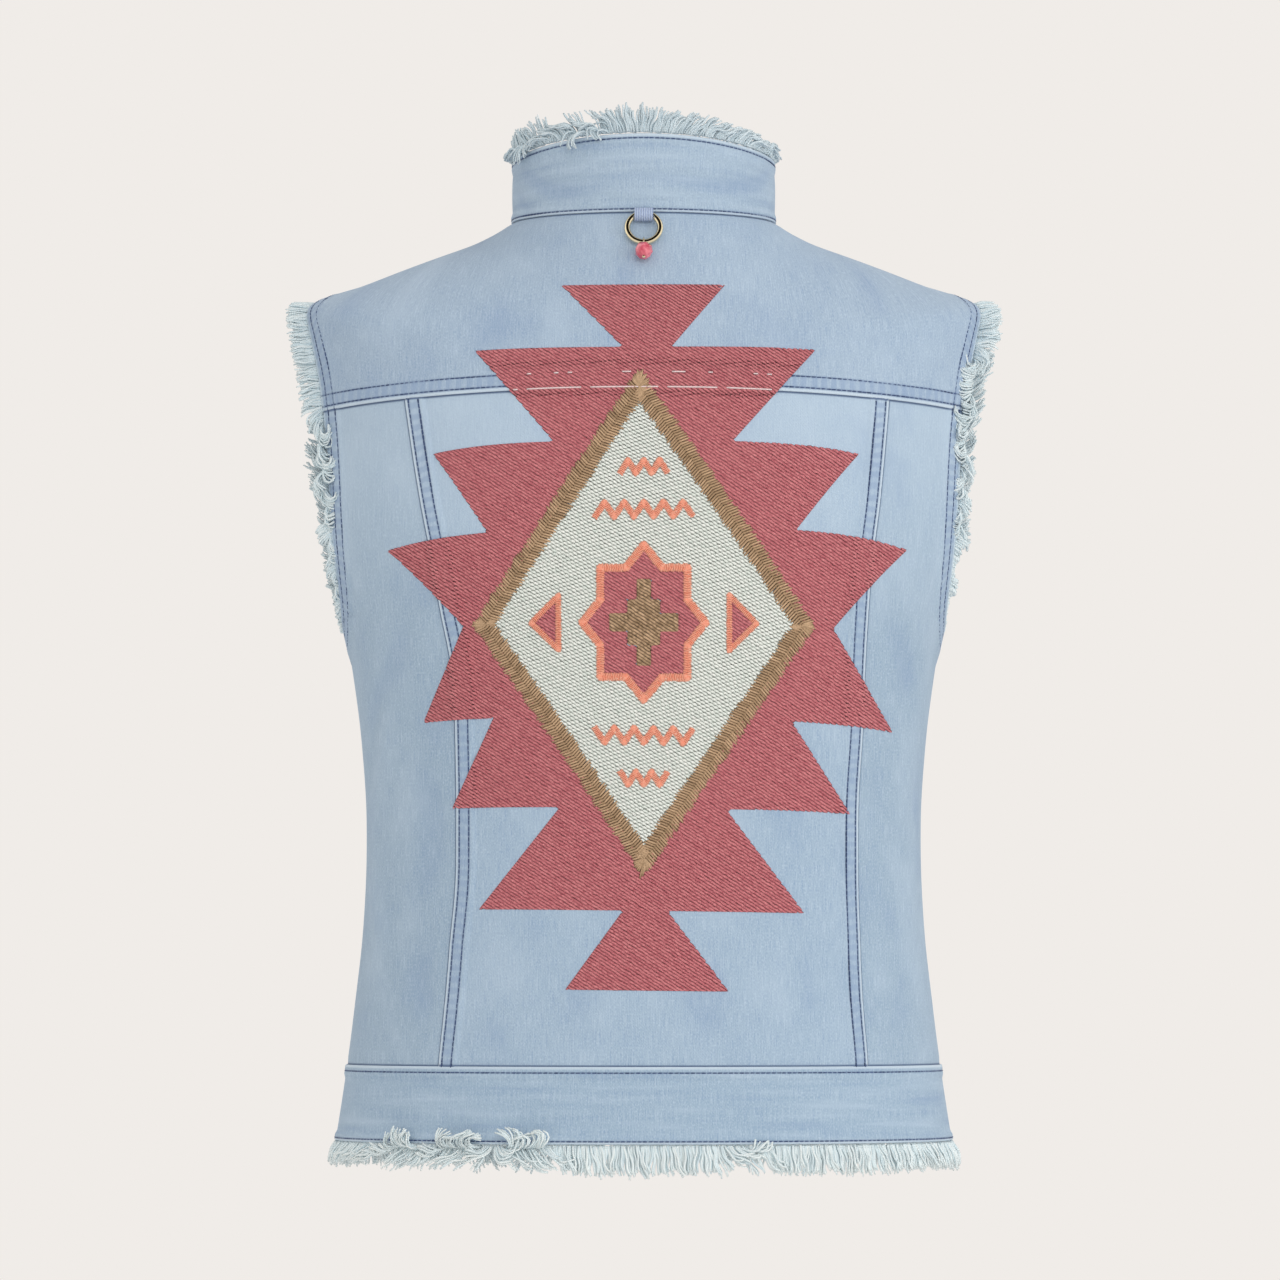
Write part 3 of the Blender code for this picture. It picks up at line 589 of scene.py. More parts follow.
def creases(points, form):
    """Sum of soft troughs and ridges: depth times a bell across each, and a longer bell along it."""
    table = dict(zip(CREASE_COLUMNS, np.array(CREASES if form is BODY else COLLAR_CREASES, float).T))
    angle, z = np.radians(table["angle"]), table["z"] * MM
    at = form.at_height(angle, z)
    centre, out = form.point(angle, at), form.normal(angle, at)
    level = unit(np.cross(np.array([0, 0, 1.0]), out))
    upright = np.cross(out, level)
    tilt = np.radians(table["tilt"])[:, None]
    along_way = level * np.cos(tilt) + upright * np.sin(tilt)
    across_way = np.cross(out, along_way)
    total = np.zeros(points.shape[:-1])
    for i in range(len(centre)):
        off = points - centre[i]
        along = off @ along_way[i] / (table["length"][i] * MM / 2)
        across = off @ across_way[i] / (table["width"][i] * MM)
        across = across + 0.5 * np.sin(2.1 * along + i)
        near = np.abs(off @ out[i]) < CREASE_REACH
        total += np.where(near, table["depth"][i] * MM * np.exp(-(across**2) - along**2), 0)
    return total


print(f"{len(CREASES)} creases, {len([c for c in CREASES if c[-1] < 0])} of them troughs")

# %% [markdown]
# ## Shader maths as plain expressions
# A material's pattern is arithmetic on places: distances, waves and noise. Wiring Math nodes one by one
# hides the formula, so a small class wraps a socket and turns + - * into nodes. Everything else comes
# from one method.

# %% Wrapped sockets
class Value:
    """A number that varies over a surface: each operator adds one Math node."""

    def __init__(self, finish, socket):
        self.finish, self.socket = finish, socket

    def math(self, operation, *terms):
        node = self.finish.node("Math", {"operation": operation}, dict(enumerate(terms)))
        return Value(self.finish, node.outputs[0])

    def __add__(self, other):
        return self.math("ADD", self, other)

    def __sub__(self, other):
        return self.math("SUBTRACT", self, other)

    def __rsub__(self, other):
        return self.math("SUBTRACT", other, self)

    def __mul__(self, other):
        return self.math("MULTIPLY", self, other)

    def __abs__(self):
        return self.math("ABSOLUTE", self)

    def wave(self):
        return self.math("SINE", self)

    __radd__, __rmul__ = __add__, __mul__


class Nodes:
    """A node tree being filled."""

    def __init__(self, tree):
        self.tree = tree

    def node(self, kind, settings, sockets):
        """Adds a node: settings first, then the values or links of its sockets, by name or number."""
        made = self.tree.nodes.new("ShaderNode" + kind)
        for name, value in settings.items():
            setattr(made, name, value)
        for key, value in sockets.items():
            self.plug(made.inputs[key], value)
        return made

    def plug(self, socket, value):
        if isinstance(value, Value):
            self.tree.links.new(value.socket, socket)
        else:
            socket.default_value = value

    def scaled(self, vector, scale):
        node = self.node("VectorMath", {"operation": "MULTIPLY"}, {0: vector, 1: scale})
        return Value(self, node.outputs[0])

    def noise(self, vector, scale=1.0, detail=2.0):
        node = self.node("TexNoise", {}, {"Vector": vector, "Scale": scale, "Detail": detail})
        return Value(self, node.outputs["Fac"])

    def soft_step(self, value, low, high):
        """0 below low, 1 above high, soft between; low above high turns it round."""
        sockets = {"Value": value, "From Min": low, "From Max": high}
        node = self.node("MapRange", {"interpolation_type": "SMOOTHSTEP"}, sockets)
        return Value(self, node.outputs[0])

    def mix(self, factor, first, second):
        node = self.node("Mix", {"data_type": "RGBA"}, {0: factor, 6: first, 7: second})
        return Value(self, node.outputs[2])

    def coat(self, colour, value, low, high, amount, paint):
        """Paint over a colour, by an amount, where the value is past the soft step."""
        return self.mix(self.soft_step(value, low, high) * amount, colour, paint)

    def parts(self, vector):
        return [Value(self, output) for output in self.node("SeparateXYZ", {}, {0: vector}).outputs]


class Finish(Nodes):
    """A material being made. Numbers that are the same all over go straight on the shader's sockets."""

    def __init__(self, name, **constants):
        self.material = bpy.data.materials.new(name)
        self.material.use_nodes = True
        super().__init__(self.material.node_tree)
        self.shader = self.tree.nodes["Principled BSDF"]
        for socket, value in constants.items():
            self.shader.inputs[socket.replace("_", " ")].default_value = value

    def place(self):
        return Value(self, self.node("TexCoord", {}, {}).outputs["Object"])

    def flat(self):
        return Value(self, self.node("UVMap", {"uv_map": "cut"}, {}).outputs[0])

    def read(self, attribute):
        """The three numbers of a vector attribute."""
        node = self.node("Attribute", {"attribute_name": attribute}, {})
        return self.parts(Value(self, node.outputs["Vector"]))

    def surface(self, colour=None, height=None, depth=0.1 * MM, roughness=None):
        """Links what varies: colour, roughness, and a height that becomes bump."""
        if colour is not None:
            self.plug(self.shader.inputs["Base Color"], colour)
        if roughness is not None:
            self.plug(self.shader.inputs["Roughness"], roughness)
        if height is not None:
            bump = self.node("Bump", {}, {"Height": height, "Distance": depth})
            self.plug(self.shader.inputs["Normal"], Value(self, bump.outputs[0]))
        return self.material


def display(*values):
    """Linear colour for display values from 0 to 255."""
    share = np.array(values) / 255
    linear = np.where(share <= 0.04045, share / 12.92, ((share + 0.055) / 1.055) ** 2.4)
    return (*linear, 1.0)


print("shader maths ready")

# %% [markdown]
# ## Washed denim
# Denim is a twill of blue warp and white weft. Washing takes the blue off the high places: streaks along
# the warp, pale folds, and blotches where the seam ropes up between its stitches. The pattern follows the
# cloth, so it reads the panel's own flat coordinates, and its distance from the folds, and not the place
# in the room.

# %% Denim
PALE = display(190, 209, 227)
DEEP = display(120, 147, 188)
ROPE = display(142, 165, 197)
WELT = display(206, 222, 235)
SHADOW = display(74, 95, 132)
STREAKS, GRAINS = (1350, 95, 1), (1500, 800, 1)
ROPE_STEP = 5.8 * MM
TWILL_STEP = 0.85 * MM


def denim(name, tone, fade, paler=0.0, creased=0.16):
    """Tone, then streaks, mottling, worn creases, rope marks between the stitches, pale folds, and painted
    shadow: a dark line along each row of stitches and another under a lap. Fade gives how often the wash
    changes across and up, and how much; paler, how much below the yoke; creased, how far the blue stays in
    troughs and leaves ridges."""
    f = Finish(name, Roughness=0.88, Sheen_Weight=0.08)
    flat = f.flat()
    lap, along, tuck = f.read("seam")
    # The wear attribute holds the crease height, which marks real wear, and the distance to the nearest row
    # of stitches, which only places painted shadow.
    worn, groove, _ = f.read("wear")
    across, up, _ = f.parts(flat)
    streak = f.noise(f.scaled(flat, STREAKS), detail=3)
    grain = f.noise(f.scaled(flat, GRAINS), detail=2)
    wash = f.noise(f.scaled(flat, (fade[0], fade[1], 1)), detail=3)
    colour = display(*tone)
    for coat in (
        (streak, 0.5, 0.74, 0.5, PALE),
        (streak, 0.5, 0.28, 0.3, DEEP),
        (grain, 0.5, 0.75, 0.65, PALE),
        (grain, 0.5, 0.24, 0.4, DEEP),
        # paler lightens the upper part of a panel, from 0.27 to 0.4 m up the form.
        (up, 0.27, 0.4, paler, PALE),
        (worn, 0.1 * MM, 0.9 * MM, creased, PALE),
        (worn, -0.1 * MM, -0.9 * MM, creased, DEEP),
        (wash, 0.45, 0.75, fade[2], PALE),
        (wash, 0.48, 0.2, fade[2], DEEP),
    ):
        colour = f.coat(colour, *coat)
    blotch = f.soft_step((along * (2 * math.pi / ROPE_STEP) + wash * 14).wave() + streak * 1.6, 0.2, 1.7)
    inside = f.soft_step(lap, 1.6 * MM, 2.4 * MM) * f.soft_step(lap, 10.2 * MM, 8.4 * MM)
    colour = f.mix(inside * f.soft_step(along, -0.01, 0.0) * (0.6 - blotch * 0.45), colour, ROPE)
    colour = f.coat(colour, lap, 2.1 * MM, 0.9 * MM, 0.45 + wash * 0.5, WELT)
    # Painted shadow: a dark line along each row of stitches, and one on the cloth just beside a fold that
    # lies over it.
    colour = f.coat(colour, groove, 1.0 * MM, 0.2 * MM, 0.45, SHADOW)
    colour = f.coat(colour, tuck, 1.5 * MM, 0.4 * MM, 0.85, SHADOW)
    twill = ((across + up) * (2 * math.pi / TWILL_STEP)).wave()
    return f.surface(colour, twill * 0.3 + streak * 1.2 + grain * 0.9, 0.17 * MM)


def denim_reverse(name):
    """The wrong side: mostly white weft, with a little blue showing along the warp."""
    f = Finish(name, Roughness=0.92)
    streak = f.noise(f.scaled(f.flat(), (1200, 160, 1)), detail=3)
    colour = f.mix(f.soft_step(streak, 0.35, 0.7), display(176, 192, 207), display(210, 218, 224))
    return f.surface(colour, streak, 0.2 * MM)


BODY_FADE, BAND_FADE = (30, 18, 0.3), (13, 150, 0.42)
TONES = {
    "yoke": ((163, 184, 205), BODY_FADE),
    "centre_back": ((162, 185, 206), BODY_FADE, 0.5),
    "side_back": ((157, 180, 200), BODY_FADE, 0.5),
    "front": ((162, 184, 204), BODY_FADE, 0.3),
    "waistband": ((158, 182, 203), BAND_FADE),
    "collar": ((166, 187, 206), BAND_FADE, 0.0, 0.26),
}
DENIM = {name: denim(f"denim_{name}", *tone) for name, tone in TONES.items()}
REVERSE = denim_reverse("denim_reverse")
print("denim:", ", ".join(DENIM))

# %% [markdown]
# ## Cloth with thickness
# Each panel becomes a closed shell: an outer grid that carries the folds and creases, a plainer inner
# grid, and rims between them. It replaces the panel's solid, and states the size that the piece was cut
# to.


# %% Shells
def put_mesh(name, points, faces, materials, body="vest"):
    """A mesh object from arrays, riding on a body."""
    data = bpy.data.meshes.new(name)
    data.from_pydata(points.reshape(-1, 3).tolist(), [], faces)
    data.shade_smooth()
    for material in materials:
        data.materials.append(material)
    thing = bpy.data.objects.new(name, data)
    bpy.context.scene.collection.objects.link(thing)
    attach(thing, body)
    return thing


def give(thing, name, values):
    """A vector attribute with a value for each point."""
    attribute = thing.data.attributes.new(name, "FLOAT_VECTOR", "POINT")
    attribute.data.foreach_set("vector", np.asarray(values, np.float32).ravel())


def give_flat(thing, flat):
    """A UV map in metres from a value for each point."""
    corner = np.empty(len(thing.data.loops), np.int32)
    thing.data.loops.foreach_get("vertex_index", corner)
    layer = thing.data.uv_layers.new(name="cut")
    layer.data.foreach_set("uv", flat[corner].astype(np.float32).ravel())


def shell_faces(rows, columns):
    """Faces of a closed shell: the outer grid, the inner one turned round, and the rim."""
    index = np.arange(rows * columns).reshape(rows, columns)
    corners = [index[:-1, :-1], index[:-1, 1:], index[1:, 1:], index[1:, :-1]]
    outer = np.stack(corners, axis=-1).reshape(-1, 4)
    inner = outer[:, ::-1] + rows * columns
    rim = np.concatenate([index[0], index[1:, -1], index[-1, -2::-1], index[-2:0:-1, 0]])
    after = np.roll(rim, -1)
    under = rows * columns
    rims = np.stack([rim, rim + under, after + under, after], axis=-1)
    return np.concatenate([outer, inner, rims]), len(outer)


def seam_fields(points, laps, tucks):
    """Distance to the nearest own fold and the way along it, to the nearest fold that lies over the
    piece, and to the nearest row of stitches."""
    lap, along, rise = np.full(len(points), FAR), np.full(len(points), -FAR), np.zeros(len(points))
    tuck, over, groove = np.full(len(points), FAR), np.full(len(points), FAR), np.full(len(points), FAR)
    for name in laps:
        distance, run = SEAMS[name].nearest(points)
        near = distance * SEAMS[name].scale
        rise = np.where(near < lap, np.maximum(rise, SEAMS[name].rise(distance, run)), rise)
        along = np.where(near < lap, run if SEAMS[name].roped else -FAR, along)
        lap = np.minimum(lap, near)
        groove = np.minimum(groove, np.abs(distance[:, None] - SEAMS[name].rows).min(axis=1))
        if SEAMS[name].laps_over:
            over = np.minimum(over, distance)
    for name in tucks:
        tuck = np.minimum(tuck, SEAMS[name].nearest(points)[0])
    return lap, along, tuck, rise, over, groove


def cloth(name, panel, node, tone, thickness, laps=(), tucks=(), stand=0.0, rests_on=()):
    """Outer grid = form + creases + folds; inner grid = form + creases - thickness, but just over a
    neighbour where a fold overhangs it."""
    shape = panel.points.shape[:2]
    points, normals = panel.points.reshape(-1, 3), panel.normals.reshape(-1, 3)
    lap, along, tuck, rise, over, groove = seam_fields(points, laps, tucks)
    crease = creases(points, panel.form) * step_up(np.minimum(lap, tuck), 0, panel.form.knots[-1] / 38)
    base = crease + np.ravel(stand + np.zeros(shape))
    sink = -0.35 * MM * (1 - step_up(tuck, 0, 5 * MM))
    hollow = np.where(over < OVERHANG + 0.1 * MM, 0.25 * MM, -thickness)
    outer = points + (base + rise + sink)[:, None] * normals
    inner = points + (base + hollow)[:, None] * normals
    faces, outside = shell_faces(*shape)
    thing = put_mesh(name, np.concatenate([outer, inner]), faces.tolist(), [DENIM[tone], REVERSE])
    slot = np.ones(len(faces), np.int32)
    slot[:outside] = 0
    slot[2 * outside :] = 0
    thing.data.polygons.foreach_set("material_index", slot)
    give(thing, "seam", np.tile(np.stack([lap, along, tuck], axis=1), (2, 1)))
    # wear: the crease height for the worn creases, then the distance to the nearest row of stitches, used
    # only for painted shadow.
    give(thing, "wear", np.tile(np.stack([crease, groove, 0 * crease], axis=1), (2, 1)))
    give_flat(thing, np.tile(panel.flat().reshape(-1, 2), (2, 1)))
    width, length, area = panel.cut()
    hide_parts(node)
    min(area, width * length)
    size = f"{width * 1000:.0f} x {length * 1000:.0f} mm, {area * 1e4:.0f} cm2"
    print(f"{name}: {len(faces)} faces, cut {size}")


def lap_rise(x, thickness):
    """How far the right front stands out where it lies over the left: the soft curve 3s^2 - 2s^3 in x."""
    share = np.clip((LAP + LAP_RAMP - x) / LAP_RAMP, 0, 1)
    return (thickness + LAP_GAP) * share * share * (3 - 2 * share)


def lap_stand(panel, thickness):
    """The same for a panel, of which only the part in front is lapped."""
    return np.where(np.sin(panel.angle) > 0, lap_rise(panel.points[..., 0], thickness), 0)


# %% The body's cloth
cloth("yoke_cloth", PANELS["yoke"], "back_yoke", "yoke", CLOTH,
      laps=("yoke", "armhole_left", "armhole_right"), tucks=("collar_foot",))
cloth("centre_back_cloth", PANELS["centre_back"], "back_centre_panel", "centre_back", CLOTH,
      laps=("shaped_left", "shaped_right"), tucks=("yoke", "band_top_back"), rests_on=("yoke_cloth",))
for side in ("left", "right"):
    panel = PANELS[f"side_back_{side}"]
    cloth(f"side_back_cloth_{side}", panel, f"back_side_panel_{side}", "side_back", CLOTH,
          laps=(f"armhole_{side}",), tucks=("yoke", f"shaped_{side}", "band_top_back"),
          rests_on=("yoke_cloth",))
for side in ("left", "right"):
    panel = PANELS[f"front_{side}"]
    folds = (f"armhole_{side}", "front_edge") if side == "right" else (f"armhole_{side}",)
    cloth(f"front_cloth_{side}", panel, f"front_{side}", "front", CLOTH, laps=folds,
          tucks=("collar_foot", f"band_top_{side}"), stand=lap_stand(panel, CLOTH) * (side == "right"),
          rests_on=("yoke_cloth",))

# %% Waistband and collar cloth
for part in ("back", "left", "right"):
    panel = PANELS[f"waistband_{part}"]
    cloth(f"waistband_cloth_{part}", panel, f"waistband_{part}", "waistband", DOUBLE_CLOTH,
          laps=(f"band_top_{part}", f"band_foot_{part}"),
          stand=lap_stand(panel, DOUBLE_CLOTH) * (part == "right"),
          rests_on=("centre_back_cloth" if part == "back" else f"front_cloth_{part}",))
cloth("collar_cloth", PANELS["collar"], "collar", "collar", DOUBLE_CLOTH, laps=("collar_foot", "collar_top"),
      rests_on=("yoke_cloth",))

# %% [markdown]
# ## Threads
# Topstitches, the medallion's fill and the loose yarns are all threads on or off a surface. Curve objects
# would be heavy by the thousand, so one builder makes them from arrays of stations: a middle, a side
# direction, an up direction, a half width, a height, and whether a station is joined to the next. Thread
# that lies on cloth has a section like a roof, and loose yarn a round one.


# %% Threads from stations
ROOF = np.array([(-1, 0), (0, 1), (1, 0)])
ROUND = np.array([(-1, 0), (0, 1), (1, 0), (0, -1)])


def threads(name, centre, side, up, half, high, joined, shade, along, material, section=ROOF, skew=None):
    """Corner (s, u) of the section stands at middle + s*half*side + u*high*up, and skew moves it on along
    the thread."""
    half = np.atleast_2d(np.asarray(half, float).T).T
    half = np.broadcast_to(half, (len(centre), len(section)))[..., None]
    high = np.broadcast_to(high, len(centre))[:, None, None]
    wide, tall = section[:, 0, None], section[:, 1, None]
    corners = centre[:, None] + wide * half * side[:, None] + tall * high * up[:, None]
    if skew is not None:
        corners = corners + skew[..., None] * np.cross(side, up)[:, None]
    size = len(section)
    before = np.roll(joined, 1)
    first = np.flatnonzero(joined)[:, None] * size
    corner = np.arange(size)
    after = (corner + 1) % size
    quads = np.stack([first + corner, first + size + corner, first + size + after, first + after], axis=-1)
    quads = quads.reshape(-1, 4)
    starts = np.flatnonzero(joined & ~before)[:, None] * size + corner
    ends = np.flatnonzero(~joined & before)[:, None] * size + corner[::-1]
    thing = put_mesh(name, corners, quads.tolist() + starts.tolist() + ends.tolist(), [material])
    across = (half * wide)[..., 0]
    give(thing, "thread", np.stack([np.repeat(along, size), across.ravel(), np.repeat(shade, size)], axis=1))
    print(f"{name}: {len(starts)} threads, {len(quads) * 2 + len(starts) * 2 * (size - 2)} triangles")
    return thing


def thread_finish(name, dark, light, gap, half, twist=0.8 * MM, roughness=0.6, speck=0.5, bump=0.05 * MM,
                  valley_shade=0.5):
    """Colour from dark to light by each thread's own shade and a fine speckle, then painted shade in the
    gap's colour towards its edges, as in the valleys between threads; plies wind round it as waves."""
    f = Finish(name, Roughness=roughness)
    along, across, shade = f.read("thread")
    grain = f.noise(f.place(), 1500, 2)
    factor = shade * (1 - speck) + f.soft_step(grain, 0.3, 0.7) * speck
    ply = ((along + across * 1.6) * (2 * math.pi / twist)).wave()
    colour = f.mix(factor, display(*dark), display(*light))
    # Painted shade: the sides of a thread, where the valley to the next one lies, take the gap colour.
    colour = f.mix(f.soft_step(abs(across), 0.45 * half, half) * valley_shade, colour, display(*gap))
    return f.surface(colour, ply + grain, bump)


print("thread builder ready")

# %% [markdown]
# ## Topstitching
# Two rows of dark blue thread hold each folded edge. A row is the fold's line moved in over the cloth.
# Each stitch lies on the surface, dips at both ends where the needle went through, and is a little
# uneven.

# %% Rows of stitches
STITCH = 2.7 * MM
STITCH_GAP = 0.3 * MM
STITCH_WIDTH = 0.9 * MM
STITCH_SHARES = np.array([0, 0.22, 0.78, 1])
STITCH_JOINED = np.array([True, True, True, False])
CLEAR_SHARE = 0.93


def stitch_row(seam, panel_form, inner_line, distance, offset=0.0):
    """Stations of one row: the fold's line, moved in by the distance in the surface, put back on the
    form, lifted."""
    line = seam.line
    angle = np.arctan2(line[:, 1], line[:, 0])
    angle, at = panel_form.nearest(line, angle, panel_form.at_height(angle, line[:, 2]))
    normal = panel_form.normal(angle, at)
    inward = np.cross(normal, seam.tangent)
    inward *= np.sign(((inner_line - line) * inward).sum(axis=1, keepdims=True))
    angle, at = panel_form.nearest(line + inward * distance, angle, at)
    moved = panel_form.point(angle, at)
    clear = seam.nearest(moved)[0] > CLEAR_SHARE * distance
    moved, turns, at = moved[clear], np.unwrap(angle[clear]), at[clear]
    length = run_along(moved)
    count = int(length[-1] / (STITCH + STITCH_GAP))
    place = (np.arange(count)[:, None] * (STITCH + STITCH_GAP) + STITCH_SHARES * STITCH).ravel()
    spot = read_along(moved, length, place)
    angle, at = panel_form.nearest(spot, np.interp(place, length, turns), np.interp(place, length, at))
    base, up = panel_form.point(angle, at), panel_form.normal(angle, at)
    run = seam.nearest(spot)[1]
    ahead = read_along(moved, length, place + 0.5 * MM) - read_along(moved, length, place - 0.5 * MM)
    centre = base + (seam.rise(np.full(len(run), distance), run) + offset)[:, None] * up
    return {"centre": centre, "side": unit(np.cross(up, unit(ahead))), "up": up, "along": place}


stitch_rows = []
for name, border_panel, border in (
    ("yoke", "yoke", "low"),
    ("shaped_left", "centre_back", "left"),
    ("shaped_right", "centre_back", "right"),
    ("collar_foot", "collar", "low"),
    ("collar_top", "collar", "high"),
    ("front_edge", "front_right", "right"),
    *((f"band_top_{part}", f"waistband_{part}", "high") for part in ("back", "left", "right")),
    *((f"band_foot_{part}", f"waistband_{part}", "low") for part in ("back", "left", "right")),
):
    panel, seam = PANELS[border_panel], SEAMS[name]
    stand = CLOTH + LAP_GAP if border_panel == "front_right" else 0.0
    for distance in seam.rows:
        row = stitch_row(seam, panel.form, panel.border(border)[1], distance, stand)
        if border_panel == "waistband_right":
            row["centre"] += lap_rise(row["centre"][:, 0], DOUBLE_CLOTH)[:, None] * row["up"]
        stitch_rows.append(row)
for side, flip in (("left", FLIP_X), ("right", np.array([1, 1, 1]))):
    seam = SEAMS[f"armhole_{side}"]
    middle = (egg.min(axis=0) + egg.max(axis=0)) / 2 * flip
    away = seam.line + unit(seam.line - middle) * 0.02
    for distance in seam.rows:
        stitch_rows.append(stitch_row(seam, BODY, away, distance))

stations = {key: np.concatenate([row[key] for row in stitch_rows]) for key in stitch_rows[0]}
count = len(stations["along"]) // len(STITCH_SHARES)
chance = np.random.default_rng(3)
shade = np.repeat(chance.uniform(0, 1, count), len(STITCH_SHARES))
high = np.tile([0.0, 1, 1, 0.0], count) * 0.4 * MM + 0.1 * MM
half = np.tile([0.75, 1, 1, 0.75], count) * STITCH_WIDTH / 2
joined = np.tile(STITCH_JOINED, count)
# The third colour is painted shade along the sides of each stitch.
TOPSTITCH = thread_finish("topstitch_thread", (38, 56, 98), (72, 94, 140), (30, 46, 84), STITCH_WIDTH / 2)
topstitching = threads("topstitching", stations["centre"] - 0.06 * MM * stations["up"], stations["side"],
                       stations["up"], half, high, joined, shade, stations["along"], TOPSTITCH)

# %% [markdown]
# ## A chart of the back
# The medallion is drawn flat, as on a sewer's pattern: x across and z up. To lay it on the cloth we need
# the depth of the back at each place, folds included. Solving for it once on a fine chart and reading
# between its points is far quicker than solving for each of the many thousand stitches.

# %% The chart
CHART_STEP = 1.5 * MM
CHART_HALF = 168 * MM
CHART_LOW, CHART_HIGH = -450 * MM, -24 * MM
CHART_ROUNDS, CHART_HALVINGS = 5, 24


class Chart:
    """Depth y of the outer cloth over a grid of x and z, and its slopes."""

    def __init__(self):
        self.x = np.arange(-CHART_HALF, CHART_HALF, CHART_STEP)
        self.z = np.arange(CHART_LOW, CHART_HIGH, CHART_STEP)
        x, z = (grid.ravel() for grid in np.meshgrid(self.x, self.z))
        angle = np.full_like(x, BACK)
        for _ in range(CHART_ROUNDS):
            low, high = np.zeros_like(z), np.full_like(z, NECK)
            at = solve(lambda at: BODY.point(angle, at)[..., 2] - z, low, high, CHART_HALVINGS)
            angle = BODY.angle_at_width(at, x, -1)
        points, normals = BODY.point(angle, at), BODY.normal(angle, at)
        yoke = over_yoke_seam(angle, at) > -OVERHANG
        middle = (x > seam_width(-1, z) - OVERHANG) & (x < seam_width(1, z) + OVERHANG)
        lift = creases(points, BODY)
        for part, laps in ((yoke, ("yoke",)), (~yoke & middle, ("shaped_left", "shaped_right"))):
            lift[part] += seam_fields(points[part], laps, ())[3]
        lift = lift.reshape(len(self.z), len(self.x))
        lift = np.max([np.roll(lift, step, axis) for axis in (0, 1) for step in (-1, 0, 1)], axis=0).ravel()
        y = points[:, 1] + lift / np.minimum(normals[:, 1], -0.2)
        self.y = y.reshape(len(self.z), len(self.x))
        folds = [SEAMS[name].nearest(points)[0] for name in ("yoke", "shaped_left", "shaped_right")]
        self.fold = np.min(folds, axis=0).reshape(self.y.shape)
        self.slope_z, self.slope_x = np.gradient(self.y, CHART_STEP)

    def read(self, table, x, z):
        """Value between the four nearest points of a table, weighted by nearness."""
        column = np.clip((x - self.x[0]) / CHART_STEP, 0, len(self.x) - 1.001)
        row = np.clip((z - self.z[0]) / CHART_STEP, 0, len(self.z) - 1.001)
        i, j = row.astype(int), column.astype(int)
        a, b = row - i, column - j
        low = table[i, j] * (1 - b) + table[i, j + 1] * b
        high = table[i + 1, j] * (1 - b) + table[i + 1, j + 1] * b
        return low * (1 - a) + high * a

    def lay(self, x, z, dx, dz):
        """Middle, side direction and up direction of a thread at (x, z) that heads along (dx, dz)."""
        slope_x, slope_z = self.read(self.slope_x, x, z), self.read(self.slope_z, x, z)
        middle = np.stack([x, self.read(self.y, x, z), z], axis=1)
        up = unit(np.stack([slope_x, -np.ones_like(x), slope_z], axis=1))
        heading = unit(np.stack([dx, dx * slope_x + dz * slope_z, dz], axis=1))
        return middle, np.cross(up, heading), up


CHART = Chart()
print("chart:", CHART.y.shape, f"depth {CHART.y.min() * 1000:.0f} to {CHART.y.max() * 1000:.0f} mm")

# %% [markdown]
# ## The medallion
# It is a kilim figure: a lozenge inside tiers of triangles that point outwards. Its outline follows a
# rule: four tiers above the middle, each with a tip and a root, and the same four below. Machine
# embroidery fills such a shape with slanting ribs of stitches, whose ends give the edge its fine teeth.
# So each colour is a set of ribs, cut where the rule says that the shape ends. Borders are satin: short
# stitches across a line.

# %% Outline of the medallion, in millimetres from its middle
# A tier's height, the half width of its tip and how far it is shifted, and the same of its root.
MEDALLION_X, MEDALLION_Z = 0.0, -231.5 * MM
UPPER_TIERS = (
    (51.8, 144.3, 1.9, 102.2, 2.5),
    (48, 117.7, 1.2, 85.2, -1.2),
    (52.8, 94.4, 0.8, 49.3, -0.5),
    (35.9, 45.5, -0.4, 13.6, 1.7),
)
LOWER_TIERS = (
    (52.5, 130.6, 8.3, 102.2, 2.5),
    (49.4, 110.4, 4.3, 82.5, -0.6),
    (56.6, 90, -1.1, 45.9, -0.4),
    (43.9, 45, 1.8, 12.4, 0.9),
)
DROOP_HEIGHTS = np.array([-200, -55, 50, 100, 155, 195]) * MM
DROOPS = np.array([0, 5.8, 10.3, 13.5, 6, 2]) * MM
DROOP_AT = 143 * MM
TILTS = (0.012, 0.012, -0.008, -0.002, -0.005, -0.004)
LOZENGE_TALL, LOZENGE_WIDE = 140.4 * MM, 94.8 * MM
FIELD_TALL, FIELD_WIDE = 121.2 * MM, 81.5 * MM
LOZENGE_LEAN = 0.02


def droop(x, height):
    """How far level lines hang down on the cloth: the fourth power of x, most above the middle, and a
    slight tilt."""
    hang, tilt = (np.interp(height, DROOP_HEIGHTS, column) for column in (DROOPS, TILTS))
    return hang * np.abs(x / DROOP_AT) ** 4 + tilt * x


def flat_place(x, z):
    """Place on the flat pattern, from its middle."""
    x, z = x - MEDALLION_X, z - MEDALLION_Z
    return x, z + droop(x, z)


def in_tiers(x, z):
    """Inside the tiers: half width runs from the root at a tier's inner end to the tip at its outer end."""
    x, z = flat_place(x, z)
    found = np.zeros(np.shape(x), bool)
    for way, tiers in ((1, UPPER_TIERS), (-1, LOWER_TIERS)):
        height, tip, tip_shift, root, root_shift = np.array(tiers).T * MM
        ends = np.concatenate([[0], np.cumsum(height)])
        level = np.clip(np.searchsorted(ends, way * z, side="right") - 1, 0, len(tiers) - 1)
        share = (way * z - ends[level]) / height[level]
        half = root[level] + (tip - root)[level] * share
        middle = root_shift[level] + (tip_shift - root_shift)[level] * share
        found |= (np.abs(x - middle) < half) & (way * z >= 0) & (way * z < ends[-1])
    return found


